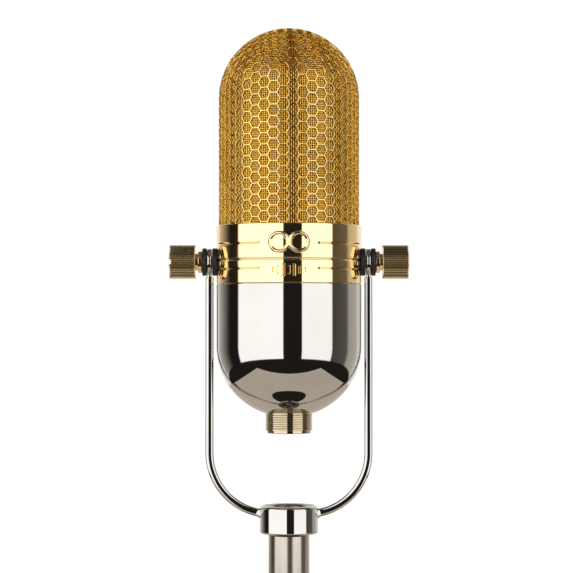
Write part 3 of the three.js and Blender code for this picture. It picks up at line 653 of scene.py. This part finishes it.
def basket_cells():
    """Cell centres on the basket and the triangles that join neighbouring centres. The top is a flat
    patch of the same lattice, closed down over six five-sided cells and evened out."""
    edge_z = PIVOT_Z + MIDDLE_CELL_Z + CELL_PITCH * ROWS_ABOVE
    rows = int((edge_z - BAND_TOP) / CELL_PITCH) + 3
    inner, edge, straddle = cap_patch()
    tube = np.arange(COLUMNS * rows).reshape(COLUMNS, rows)
    points, pinned = [], []
    for c in range(COLUMNS):
        azimuth = MIDDLE_AZIMUTH + (c - MIDDLE_COLUMN) * COLUMN_TURN
        for k in range(rows):
            unrolled = edge_z - CELL_PITCH * (k + (c % 2) / 2)
            tilt = max(0.0, (unrolled - DOME_Z) / GRILLE_R)
            x, y = azimuth_place(azimuth, GRILLE_R * math.cos(tilt))
            points.append((x, y, DOME_Z + GRILLE_R * math.sin(tilt) if tilt else unrolled))
            pinned.append(unrolled < DOME_Z - 2 * CELL_PITCH)
    triangles = []
    for c in range(COLUMNS):
        here, there = tube[c], tube[(c + 1) % COLUMNS]
        even, odd = (here, there) if c % 2 == 0 else (there, here)
        for k in range(rows - 1):
            triangles += [(even[k], odd[k], even[k + 1]), (odd[k], even[k + 1], odd[k + 1])]
    # The patch: its edge cells are the tube's first even cells, its inner cells are new.
    first_inner = len(points)
    patch = np.concatenate([inner, edge])
    number = list(range(first_inner, first_inner + len(inner))) + [tube[2 * m][0] for m in range(len(edge))]
    triangles += [tuple(number[i] for i in t) for t in flat_triangles(patch)]
    for m, place in enumerate(straddle):
        across = first_inner + int(np.argmin(np.linalg.norm(inner - place, axis=1)))
        odd = tube[2 * m + 1][0]
        triangles += [(number[len(inner) + m], odd, across),
                      (number[len(inner) + (m + 1) % len(edge)], odd, across)]
    points += [(0, 0, GRILLE_APEX)] * len(inner)
    points = np.array(points, float)
    pinned = np.array(pinned + [False] * len(inner))
    triangles = np.array(triangles)
    settle_patch(points, triangles, first_inner)
    return even_out(points, triangles, pinned), triangles


def settle_patch(points, triangles, first_inner):
    """Places the inner cells of the top, each at the middle of its neighbours, seen from above."""
    pairs = np.concatenate([triangles[:, [0, 1]], triangles[:, [1, 2]], triangles[:, [2, 0]]])
    pairs = np.concatenate([pairs, pairs[:, ::-1]])
    pairs = pairs[pairs[:, 0] >= first_inner]
    count = np.bincount(pairs[:, 0], minlength=len(points))[:, None]
    for _ in range(400):
        total = np.zeros((len(points), 2))
        np.add.at(total, pairs[:, 0], points[pairs[:, 1], :2])
        points[first_inner:, :2] = (total / np.maximum(count, 1))[first_inner:]
    flat = np.linalg.norm(points[first_inner:, :2], axis=1)
    points[first_inner:, 2] = DOME_Z + np.sqrt(np.maximum(GRILLE_R ** 2 - flat ** 2, 1.0))


def even_out(points, triangles, pinned):
    """Moves the free cells until neighbours are evenly spaced over the round top."""
    for _ in range(300):
        corners = points[triangles]
        normal = np.cross(corners[:, 1] - corners[:, 0], corners[:, 2] - corners[:, 0])
        area = np.linalg.norm(normal, axis=1)
        middle = corners.mean(1) * area[:, None]
        total, weight = np.zeros_like(points), np.zeros(len(points))
        for k in range(3):
            np.add.at(total, triangles[:, k], middle)
            np.add.at(weight, triangles[:, k], area)
        moved = total / np.maximum(weight, 1e-9)[:, None]
        moved[pinned] = points[pinned]
        points = np.where(pinned[:, None], points, on_grille(moved, GRILLE_R))
    return points


def cell_rings(points, triangles):
    """For each cell with neighbours all round, its triangles in order round its centre."""
    around = [[] for _ in points]
    for t, corners in enumerate(triangles):
        for c in corners:
            around[c].append(t)
    middles = points[triangles].mean(1)
    rings = []
    for c, found in enumerate(around):
        neighbours = set(triangles[found].ravel()) - {c}
        if len(found) < 5 or len(neighbours) != len(found):
            continue
        normal = Vector(points[c] - [0, 0, min(points[c][2], DOME_Z)]).normalized()
        side = normal.orthogonal().normalized()
        other = normal.cross(side)
        spokes = middles[found] - points[c]
        angles = np.arctan2(spokes @ np.array(other), spokes @ np.array(side))
        rings.append((c, [found[i] for i in np.argsort(angles)]))
    return rings


def tucked(junctions):
    """Squeezes what lies below the band's edge into the band's recess."""
    below = BAND_TOP - junctions[:, 2]
    squeeze = (BAND_TOP - GRILLE_FOOT) / below.max()
    junctions[:, 2] = np.where(below > 0, BAND_TOP - below * squeeze, junctions[:, 2])
    return junctions


def basket():
    """Hexagonal basket: strands with softened edges round every cell."""
    cells, triangles = basket_cells()
    junctions = tucked(cells[triangles].mean(1))
    crown = on_grille(junctions, GRILLE_R)
    floor_ring = on_grille(junctions, GRILLE_R - STRAND_THICK)
    points = [*crown, *floor_ring]
    faces, uses = [], {}
    for cell, ring in cell_rings(cells, triangles):
        corners = crown[ring]
        centre = corners.mean(0)
        edges = (corners + np.roll(corners, -1, 0)) / 2
        apothem = np.linalg.norm(edges - centre, axis=1).mean()
        loops = []
        for share, sink in STRAND_SECTION:
            inset = centre + (corners - centre) * (1 - share * STRAND / apothem)
            start = len(points)
            points += list(on_grille(inset, GRILLE_R - sink))
            loops.append([start + i for i in range(len(ring))])
        count = len(ring)
        bands = [list(ring), *loops, [t + len(crown) for t in ring]]
        for outer, inner in zip(bands, bands[1:]):
            for i in range(count):
                j = (i + 1) % count
                faces.append((outer[i], outer[j], inner[j], inner[i]))
        for i in range(count):
            pair = (ring[i], ring[(i + 1) % count])
            uses[frozenset(pair)] = uses.get(frozenset(pair), []) + [pair]
    for found in uses.values():
        if len(found) == 1:
            a, b = found[0]
            faces.append((b, a, a + len(crown), b + len(crown)))
    return compacted("grille_basket_strands", points, faces, 50)


WIRE_R = 0.24
WEAVE_PITCH = 1.0
WEAVE_WAVE = 0.17
WEAVE_THINNING = math.radians(43)     # above this tilt only every second upright goes on
WEAVE_PATCH = math.radians(66)        # the square weave of the top starts here


def tubes(name, wires, closed):
    """Wires with four softened sides, from pairs of centreline points and outward normals."""
    points, faces = [], []
    count = 0
    for line, normal in wires:
        ahead = np.roll(line, -1, 0) - np.roll(line, 1, 0)
        if not closed:
            ahead[0], ahead[-1] = line[1] - line[0], line[-1] - line[-2]
        ahead /= np.linalg.norm(ahead, axis=1, keepdims=True)
        side = np.cross(ahead, normal)
        side /= np.linalg.norm(side, axis=1, keepdims=True)
        up = np.cross(side, ahead)
        ring = np.stack([line + WIRE_R * way for way in (up, side, -up, -side)], 1)
        index = count + np.arange(len(line) * 4).reshape(len(line), 4)
        faces.append(row_quads(index, closed))
        if not closed:
            faces.append(np.array([index[0][::-1], index[-1]]))
        points.append(ring.reshape(-1, 3))
        count += len(line) * 4
    return mesh_object(name, np.concatenate(points), np.concatenate(faces).tolist(), 100)


def woven_zone(rows, around, first_row):
    """Rings and uprights that pass over and under each other. rows holds the tilt of each ring's
    normal and the height that it is measured from. Each wire comes with its outward normals."""
    radius = MESH_R - WIRE_R - WEAVE_WAVE
    turn = np.arange(around) * TURN / around
    out = np.stack([np.sin(turn), -np.cos(turn), 0 * turn], 1)
    up = np.array([0, 0, 1.0])
    rings, uprights = [], []
    for i, (tilt, base) in enumerate(rows, first_row):
        normal = out * math.cos(tilt) + up * math.sin(tilt)
        wave = WEAVE_WAVE * (-1.0) ** (np.arange(around) + i)
        rings.append((normal * (radius + wave)[:, None] + up * base, normal))
    tilts, bases = np.array(rows).T
    for j in range(around):
        normal = np.outer(np.cos(tilts), out[j]) + np.outer(np.sin(tilts), up)
        wave = -WEAVE_WAVE * (-1.0) ** (np.arange(len(rows)) + first_row + j)
        uprights.append((normal * (radius + wave)[:, None] + np.outer(bases, up), normal))
    return rings, uprights


def woven_sides():
    """The woven mesh from its foot to the top patch. Every second upright stops part of the way up the
    round top."""
    radius = MESH_R - WIRE_R - WEAVE_WAVE
    around = 4 * round(math.pi * radius / WEAVE_PITCH / 2)
    count = int((DOME_Z - GRILLE_FOOT - 0.4) / WEAVE_PITCH)
    wall = [(0.0, DOME_Z - WEAVE_PITCH * k) for k in range(count, -1, -1)]
    tilts = np.arange(1, int(WEAVE_PATCH * radius / WEAVE_PITCH) + 1) * WEAVE_PITCH / radius
    lower = wall + [(tilt, DOME_Z) for tilt in tilts if tilt < WEAVE_THINNING]
    upper = [lower[-1]] + [(tilt, DOME_Z) for tilt in tilts if tilt >= WEAVE_THINNING]
    rings, uprights = woven_zone(lower, around, 0)
    more_rings, more_uprights = woven_zone(upper, around // 2, len(lower) - 1)
    first = tubes("grille_mesh_rings", rings + more_rings[1:], True)
    second = tubes("grille_mesh_uprights", uprights + more_uprights, False)
    return first, second, tilts[-1]


def woven_patch(edge_tilt):
    """Square weave that closes the top inside the last ring."""
    radius = MESH_R - WIRE_R - WEAVE_WAVE
    reach = radius * math.cos(edge_tilt)
    half = int(reach / WEAVE_PITCH)
    offsets = np.arange(-half, half + 1) * WEAVE_PITCH
    wires = []
    for axis in (0, 1):
        for i, a in enumerate(offsets):
            inside = a * a + offsets ** 2 < 0.98 * reach ** 2
            if not inside.any():
                continue
            end = math.sqrt(reach ** 2 - a * a)
            b = np.concatenate([[-end], offsets[inside], [end]])
            step = int(np.argmax(inside)) - 1 + np.arange(len(b))
            flat = (np.full_like(b, a), b) if axis == 0 else (b, np.full_like(b, a))
            normal = np.stack([*flat, np.sqrt(radius ** 2 - a * a - b * b)], 1) / radius
            wave = WEAVE_WAVE * (-1.0) ** (step + i + axis)
            wires.append((normal * (radius + wave)[:, None] + [0, 0, DOME_Z], normal))
    return tubes("grille_mesh_top", wires, False)


LINING_WALL = 0.35


def domed_profile(outer, wall, foot, steps=40):
    """A cup turned upside down: a straight wall with a round top."""
    inner = outer - wall
    inside = arc((0, DOME_Z), inner, 90, 0, steps)
    return [*inside, (inner, foot), (outer, foot), *arc((0, DOME_Z), outer, 0, 90, steps)]


def build_grille():
    dress(basket(), "mic_body", "gold", BASKET_GOLD, ["grille_basket"])
    rings, uprights, edge_tilt = woven_sides()
    dress(rings, "mic_body", "gold_mesh", replaces=["grille_mesh"])
    dress(uprights, "mic_body", "gold_mesh")
    dress(woven_patch(edge_tilt), "mic_body", "gold_mesh")
    lining = lathe("grille_lining_screen", domed_profile(LINING_R, LINING_WALL, GRILLE_FOOT), closed=False)
    dress(lining, "mic_body", "lining", replaces=["grille_lining"])


# Band -----------------------------------------------------------------------------------------

GROOVES = ((7.5, True), (0.6, False), (-3.5, True))     # height above the tilt axis, stops at the marks
GROOVE_HALF, GROOVE_DEPTH = 0.6, 0.45
MARK_HALF, GROOVE_FADE = 12.2, 2.2     # how far from the middle a stopped groove begins
LOBE_X, LOBE_Z, LOBE_R, LOBE_STROKE, LOBE_HEIGHT = 4.4, 7.8, 4.0, 1.5, 0.5
BAR_PITCH, BAR_HALF, BAR_Z, BAR_DEPTH, BAR_EDGE = 2.3, 0.5, -4.2, 1.3, 0.14
BAR_HEIGHTS = (0.9, 1.7, 2.7, 1.9, 2.7, 1.7, 0.9)
BAND_WALL = 2.9
BAND_FOOT_FILLET, BAND_TOP_FILLET = 0.35, 0.3
BAND_ROW = 0.12                       # height of one row of facets
GRILLE_SIDE_GAP, GRILLE_FOOT_GAP = 0.35, 0.3
FLANGE_WIDTH, FLANGE_THICK = 5.1, 4.5
PIVOT_HOLE_R, WASHER_SEAT_R, WASHER_SEAT_GAP = 4.8, 6.7, 0.3
FRONT_HALF, FRONT_STEP, REST_SIDES = 26, 0.25, 180     # finer facets where the marks are, in degrees


def band_relief(radius, height, turn):
    """Grooves that fade out beside the marks, the raised figure-of-eight and the row of bars."""
    front = turn - 1.5 * math.pi
    x = BODY_R * front
    z = height - PIVOT_Z
    outside = np.abs(radius - BODY_R) < 0.02
    relief = np.zeros_like(radius)
    for level, stops in GROOVES:
        across = np.clip(1 - np.abs(z - level) / GROOVE_HALF, 0, 1)
        section = np.sin(across * math.pi / 2)
        ends = smooth_step((np.abs(x) - MARK_HALF) / GROOVE_FADE) if stops else 1.0
        relief -= GROOVE_DEPTH * section * ends
    lobes = np.minimum(*(np.abs(np.hypot(x - side * LOBE_X, z - LOBE_Z) - LOBE_R) for side in (-1, 1)))
    relief += LOBE_HEIGHT * np.clip(1 - (2 * lobes / LOBE_STROKE) ** 2, 0, 1)
    middle = (len(BAR_HEIGHTS) - 1) / 2
    for i, half in enumerate(BAR_HEIGHTS):
        away = np.abs(x - (i - middle) * BAR_PITCH)
        beyond = np.maximum(np.abs(z - BAR_Z) - half + BAR_HALF, 0)
        relief -= BAR_DEPTH * smooth_step((BAR_HALF + BAR_EDGE / 2 - np.hypot(away, beyond)) / BAR_EDGE)
    return np.where(outside, relief, 0)


def band_profile():
    """Section of the band: the grille's recess on top, an inner flange and the bore."""
    lip = GRILLE_R + GRILLE_SIDE_GAP
    ledge = GRILLE_FOOT - GRILLE_FOOT_GAP
    bore = BODY_R - BAND_WALL
    flange = bore - FLANGE_WIDTH
    below = ledge - FLANGE_THICK
    bottom = rounded([
        (bore, BAND_BOTTOM, 0), (BODY_R, BAND_BOTTOM, BAND_FOOT_FILLET), (BODY_R, BAND_TOP, 0),
    ], 5)[1:-1]
    outer = stepped((BODY_R, BAND_BOTTOM + 0.55), (BODY_R, BAND_TOP - 0.5), BAND_ROW)
    top = rounded([
        (BODY_R, BAND_BOTTOM, 0), (BODY_R, BAND_TOP, BAND_TOP_FILLET), (lip, BAND_TOP, 0.15), (lip, ledge, 0),
    ], 5)[1:-1]
    inside = [(lip, ledge), (flange, ledge), (flange, below), (bore, below), (bore, BAND_BOTTOM)]
    return [*bottom, *outer, *top, *inside]


def build_band():
    front = np.radians(np.arange(-FRONT_HALF, FRONT_HALF + FRONT_STEP / 2, FRONT_STEP)) + 1.5 * math.pi
    rest = np.linspace(front[-1], front[0] + TURN, REST_SIDES)[1:-1]
    body = lathe("band_body", band_profile(), relief=band_relief, angles=np.concatenate([front, rest]))
    start, end = BODY_R - BAND_WALL - 2, BODY_R + 2
    seat = low("inner_washer_right")[0] - WASHER_SEAT_GAP
    hole = [
        (0, start), (PIVOT_HOLE_R, start), (PIVOT_HOLE_R, seat),
        (WASHER_SEAT_R, seat), (WASHER_SEAT_R, end), (0, end),
    ]
    for side in (-1, 1):
        cut_away(body, along_x(lathe("hole", hole, HOLE_SIDES), side))
    dress(body, "mic_body", "gold", replaces=["band"])


# Lower cup and connector ----------------------------------------------------------------------

CUP_WALL = 2.2
CUP_ROUND_BELOW = 37.5                # from the tilt axis to where the round bottom starts
CUP_ROUND_DEPTH = 31.8
CUP_HOLE_R = 9.7
BAND_GAP = 0.12                       # the hairline between band and cup
SPIGOT_INSET, SPIGOT_WALL = 3.3, 1.8


def build_cup():
    """Round-bottomed cup with a spigot that fits up into the band."""
    centre = PIVOT_Z - CUP_ROUND_BELOW
    end = math.degrees(math.asin((centre - CUP_BOTTOM) / CUP_ROUND_DEPTH))
    inner = BODY_R - CUP_WALL
    inner_depth = CUP_ROUND_DEPTH - CUP_WALL
    inner_end = math.degrees(math.asin((centre - CUP_BOTTOM - CUP_WALL) / inner_depth))
    rim = BAND_BOTTOM - BAND_GAP
    spigot = BODY_R - SPIGOT_INSET
    outer = arc((0, centre), BODY_R, -end, 0, 64, CUP_ROUND_DEPTH)
    top = rounded([(BODY_R, centre, 0), (BODY_R, rim, 0.25), (spigot, rim, 0)], 4)[1:-1]
    profile = [
        (CUP_HOLE_R, CUP_BOTTOM), (outer[0][0] - 0.12, CUP_BOTTOM), *outer[1:], *top,
        (spigot, rim), (spigot, CUP_TOP), (spigot - SPIGOT_WALL, CUP_TOP), (spigot - SPIGOT_WALL, rim - 2),
        (inner, rim - 4), *arc((0, centre), inner, 0, -inner_end, 24, inner_depth),
        (CUP_HOLE_R, CUP_BOTTOM + CUP_WALL),
    ]
    dress(lathe("lower_cup_body", profile, FINE_SIDES), "mic_body", "chrome", replaces=["lower_cup"])


SHELL_NECK_R, SHELL_BORE, SHELL_END_R = 9.3, 8.1, 9.9
SHELL_RING = 1.35                     # height of the plain ring below the thread
SHELL_PITCH, SHELL_THREAD_DEPTH = 1.0, 0.4
CUP_GAP = 0.3
PIN_TIP_R = 0.9


def build_connector():
    """Threaded shell and the three contacts inside it."""
    shoulder = CUP_BOTTOM - CUP_GAP
    thread_low = SHELL_BOTTOM + SHELL_RING
    ring = rounded([
        (SHELL_BORE, SHELL_BOTTOM, 0.2), (SHELL_END_R, SHELL_BOTTOM, 0.3),
        (SHELL_END_R, thread_low - 0.1, 0), (SHELL_R, thread_low, 0),
    ], 4, 0.05)[:-1]
    wall = stepped((SHELL_R, thread_low), (SHELL_R, shoulder), 0.06)
    top = [(SHELL_NECK_R, shoulder), (SHELL_NECK_R, SHELL_TOP), (SHELL_BORE, SHELL_TOP)]
    relief = thread(SHELL_PITCH, SHELL_THREAD_DEPTH, thread_low, shoulder - 0.1, SHELL_R)
    shell = lathe("connector_shell_body", [*ring, *wall, *top], relief=relief, sharp_degrees=60)
    dress(shell, "mic_body", "gold", CONNECTOR_GOLD, ["connector_shell"])
    for i in (1, 2, 3):
        node = f"connector_pin_{i}"
        (x0, y0, z0), (x1, y1, z1) = low(node), high(node)
        r = (x1 - x0) / 2
        tip = arc((r - PIN_TIP_R, z0 + PIN_TIP_R), PIN_TIP_R, -90, 0, 8)
        pin = lathe(f"{node}_contact", [(0, z0), *tip, (r, z1), (0, z1)], 48)
        pin.data.transform(Matrix.Translation(((x0 + x1) / 2 * MM, (y0 + y1) / 2 * MM, 0)))
        dress(pin, "mic_body", "contact_gold", replaces=[node])


# Yoke, collar and post ------------------------------------------------------------------------

ROD_R = 1.85
ARM_X = 35.5
BEND_R = 27.2
ROD_DROP = 112.4
ROD_SUNK = 1.5                        # the rod's end inside the collar
ROD_SQUARE = 0.65                     # 1 is round, less is flatter in front and behind
ROD_SIDES = 40
EYE_R, EYE_HALF, EYE_HOLE_R = 6.0, 1.0, 2.8
EYE_FLAT_FROM = 7.2                   # below the tilt axis, where the rod starts to flatten
EYE_ROUND_FROM = 3.6                  # below the tilt axis, where the eye's round outline starts
EYE_FLATTENING = 0.25                 # share of the stretch between them in which the rod goes flat
FLARE, FLARE_REACH = 0.6, 0.5         # fillet of brazing round the rod at the collar


def arm_sections():
    """Centre, half thickness along the bend plane and half width of the arm, from collar to eye."""
    bend_x, bend_z = ARM_X - BEND_R, PIVOT_Z - ROD_DROP + BEND_R
    start = math.acos((COLLAR_R - ROD_SUNK - bend_x) / BEND_R)
    rows = []
    for angle in np.linspace(-start, 0, 60):
        centre = (bend_x + BEND_R * math.cos(angle), bend_z + BEND_R * math.sin(angle))
        rows.append((centre, angle + math.pi / 2, ROD_R, ROD_R))
    for z in np.linspace(bend_z, PIVOT_Z - EYE_FLAT_FROM, 24)[1:]:
        rows.append(((ARM_X, z), math.pi / 2, ROD_R, ROD_R))
    for share in np.linspace(0, 1, 20)[1:]:
        z = PIVOT_Z - EYE_FLAT_FROM + (EYE_FLAT_FROM - EYE_ROUND_FROM) * share
        eye = math.sqrt(max(EYE_R ** 2 - (z - PIVOT_Z) ** 2, 0.0))
        half = ROD_R + (EYE_HALF - ROD_R) * smooth_step(share / EYE_FLATTENING)
        rows.append(((ARM_X, z), math.pi / 2, half, max(ROD_R + 0.4 * smooth_step(share), eye)))
    low_angle = math.asin(-EYE_ROUND_FROM / EYE_R)
    for angle in np.linspace(low_angle, math.pi / 2 - 0.18, 26)[1:]:
        z = PIVOT_Z + EYE_R * math.sin(angle)
        rows.append(((ARM_X, z), math.pi / 2, EYE_HALF, EYE_R * math.cos(angle)))
    return rows


def arm_flare(x):
    """The brazed fillet where the rod enters the collar."""
    return FLARE * math.exp(-max(x - COLLAR_R + 0.2, 0.0) / FLARE_REACH)


def yoke_arm(side):
    """One arm: a round rod, bent, brazed into the collar and flattened into an eye."""
    turn = (np.arange(ROD_SIDES) + 0.5) * TURN / ROD_SIDES
    points = []
    for (x, z), heading, half, width in arm_sections():
        flare = arm_flare(x) if heading < math.pi / 2 else 0.0
        across = np.sign(np.cos(turn)) * np.abs(np.cos(turn)) ** ROD_SQUARE * (half + flare)
        wide = np.sign(np.sin(turn)) * (np.abs(np.sin(turn)) ** ROD_SQUARE * (half + flare) + width - half)
        normal = (math.sin(heading), -math.cos(heading))
        points += [(x + a * normal[0], w, z + a * normal[1]) for a, w in zip(across, wide)]
    index = np.arange(len(points)).reshape(-1, ROD_SIDES)
    faces = row_quads(index).tolist() + [index[0][::-1].tolist(), index[-1].tolist()]
    arm = mesh_object("arm", points, faces, 50)
    if side < 0:
        arm.data.transform(Matrix.Rotation(math.pi, 4, "Z"))
    start, end = ARM_X - 4, ARM_X + 4
    hole = lathe("hole", [(0, start), (EYE_HOLE_R, start), (EYE_HOLE_R, end), (0, end)], HOLE_SIDES)
    return cut_away(arm, along_x(hole, side))


def build_yoke():
    for name, side in (("left", -1), ("right", 1)):
        arm = yoke_arm(side)
        arm.name = f"yoke_arm_{name}_rod"
        dress(arm, "yoke", "chrome", replaces=[f"yoke_arm_{name}"])
    build_collar()


STAND_PITCH, THREAD_ROW = 0.94, 0.11
COLLAR_THREAD_DEPTH, POST_THREAD_DEPTH = 0.45, 0.5
COUNTERSINK, COUNTERSINK_WIDTH = 1.1, 0.9
COLLAR_LEAD = 0.6                     # bevel at the collar's lower edge
STUB_R, STUB_BEVEL = 7.6, 1.2
SOCKET_R, SOCKET_DEPTH, SOCKET_LEAD = 7.9, 16.0, 0.8
POST_GAP = 0.4                        # between the post's shoulder and the collar


def build_collar():
    """Ring with a threaded bore, countersunk on top."""
    start, end = COLLAR_BOTTOM + COLLAR_LEAD, COLLAR_TOP - COUNTERSINK
    inside = stepped((COLLAR_BORE, end), (COLLAR_BORE, start), THREAD_ROW)
    outer = rounded([
        (COLLAR_BORE + COLLAR_LEAD, COLLAR_BOTTOM, 0), (COLLAR_R, COLLAR_BOTTOM, 1.0),
        (COLLAR_R, COLLAR_TOP - 0.1, 1.4), (COLLAR_BORE + COUNTERSINK_WIDTH, COLLAR_TOP - 0.35, 0.5),
        (COLLAR_BORE, end, 0),
    ], 10)[:-1]
    relief = thread(STAND_PITCH, -COLLAR_THREAD_DEPTH, start, end, COLLAR_BORE)
    collar = lathe("stand_collar_body", [*outer, *inside], FINE_SIDES, relief, sharp_degrees=60)
    dress(collar, "yoke", "chrome", COLLAR_CHROME, ["stand_collar"])


def build_post():
    """Tube with a threaded stub on top, which the collar turns on, and a threaded socket below."""
    shoulder = COLLAR_BOTTOM - POST_GAP
    stub_wall = stepped((STUB_R, shoulder), (STUB_R, POST_TOP - STUB_BEVEL), THREAD_ROW)
    socket_wall = stepped((SOCKET_R, SOCKET_DEPTH), (SOCKET_R, SOCKET_LEAD), THREAD_ROW)
    body = rounded([
        (SOCKET_R, 0, 0), (POST_R, 0, 0.4), (POST_R, shoulder, 0.5), (STUB_R, shoulder, 0),
    ], 6)[1:-1]
    profile = [
        (0, SOCKET_DEPTH), *socket_wall, (SOCKET_R + 0.5, 0), *body, *stub_wall,
        (STUB_R - 1.1, POST_TOP), (0, POST_TOP),
    ]
    male = thread(STAND_PITCH, POST_THREAD_DEPTH, shoulder + 0.3, POST_TOP - STUB_BEVEL, STUB_R)
    female = thread(STAND_PITCH, -POST_THREAD_DEPTH, SOCKET_LEAD, SOCKET_DEPTH, SOCKET_R)

    def both(radius, height, turn):
        in_socket = height <= SOCKET_DEPTH
        return np.where(in_socket, female(radius, height, turn), male(radius, height, turn))

    post = lathe("stand_post_body", profile, relief=both, sharp_degrees=60)
    dress(post, "stand", "satin_nickel", replaces=["stand_post"])


# Washers and thumbscrews ----------------------------------------------------------------------


WASHER_BORE = 2.9


def build_washers():
    for name, side in (("left", -1), ("right", 1)):
        for kind, body in (("inner", "mic_body"), ("outer", f"washer_{name}")):
            node = f"{kind}_washer_right"
            start, end = low(node)[0], high(node)[0]
            r = high(node)[2] - PIVOT_Z
            profile = rounded([
                (WASHER_BORE, start, 0.2), (r, start, 0.35), (r, end, 0.35), (WASHER_BORE, end, 0.2),
            ], 5)
            washer = along_x(lathe(f"{kind}_washer_{name}_ring", profile, 96), side)
            dress(washer, body, "rubber", replaces=[f"{kind}_washer_{name}"])


RIDGES, RIDGE_DEPTH = 50, 0.32
RIDGE_CREST, RIDGE_FLANK = 0.28, 0.6  # shares of half a ridge
KNOB_START, KNOB_NECK_R = 41.7, 3.8
FLANGE_START, FLANGE_END, FLANGE_R = 38.85, 40.6, 4.9
SHANK_R, SCREW_PITCH, SCREW_THREAD_DEPTH = 2.45, 0.8, 0.4
SLOT_WIDTH, SLOT_DEPTH = 1.75, 1.0


def screw_relief(radius, height, turn):
    """The shank's thread and the knob's ridges."""
    shank = thread(SCREW_PITCH, SCREW_THREAD_DEPTH, SHANK_END + 0.6, FLANGE_START - 0.4, SHANK_R)
    tooth = np.abs((turn * RIDGES / TURN) % 1 - 0.5) * 2
    rim = smooth_step((radius - KNOB_R + 1.1) / 0.6) * (height > KNOB_START - 0.01)
    ridges = RIDGE_DEPTH * np.clip((tooth - RIDGE_CREST) / RIDGE_FLANK, 0, 1) * rim
    return shank(radius, height, turn) - ridges


def screwdriver_slot(turn):
    """The block that the slot takes out of the knob's end."""
    half, reach = SLOT_WIDTH / 2, KNOB_R + 1
    outline = ((-half, -reach), (half, -reach), (half, reach), (-half, reach))
    corners = [(x, y, z) for z in (KNOB_END - SLOT_DEPTH, KNOB_END + 1) for x, y in outline]
    walls = [(0, 3, 2, 1), (4, 5, 6, 7), (0, 1, 5, 4), (1, 2, 6, 5), (2, 3, 7, 6), (3, 0, 4, 7)]
    slot = mesh_object("slot", corners, walls)
    slot.data.transform(Matrix.Rotation(turn, 4, "Z"))
    return slot


def thumbscrew(side, slot_turn):
    """Knurled knob with a stepped neck and a threaded shank, made about Z and laid along X."""
    knob = rounded([
        (KNOB_NECK_R, KNOB_START, 0), (KNOB_R, KNOB_START, 0.4), (KNOB_R, KNOB_END, 0.5), (0, KNOB_END, 0),
    ], 5)[:-1]
    neck = rounded([
        (SHANK_R, FLANGE_START, 0), (FLANGE_R, FLANGE_START, 0.3), (FLANGE_R, FLANGE_END, 0.3),
        (KNOB_NECK_R, FLANGE_END + 0.1, 0), (KNOB_NECK_R, KNOB_START, 0),
    ], 4)[:-1]
    shank = stepped((SHANK_R, SHANK_END + 0.6), (SHANK_R, FLANGE_START - 0.4), 0.1)
    profile = [(0, SHANK_END), (SHANK_R - 0.6, SHANK_END), *shank, *neck, *knob, (0, KNOB_END)]
    piece = lathe("thumbscrew", profile, RIDGES * 10, screw_relief, sharp_degrees=28)
    return along_x(cut_away(piece, screwdriver_slot(slot_turn)), side)


def build_thumbscrews():
    for name, side, slot_turn in (("left", -1, 0.0), ("right", 1, math.pi / 3)):
        screw = thumbscrew(side, slot_turn)
        screw.name = f"thumbscrew_{name}_knob"
        dress(screw, f"screw_{name}", "gold", KNURL_GOLD, [f"thumbscrew_{name}"])


# The whole scene ------------------------------------------------------------------------------

bpy.context.scene.view_settings.view_transform = "Standard"
add_camera()
add_room()
add_floor()
dress_frame_nodes()
build_grille()
build_band()
build_cup()
build_connector()
build_yoke()
build_post()
build_washers()
build_thumbscrews()
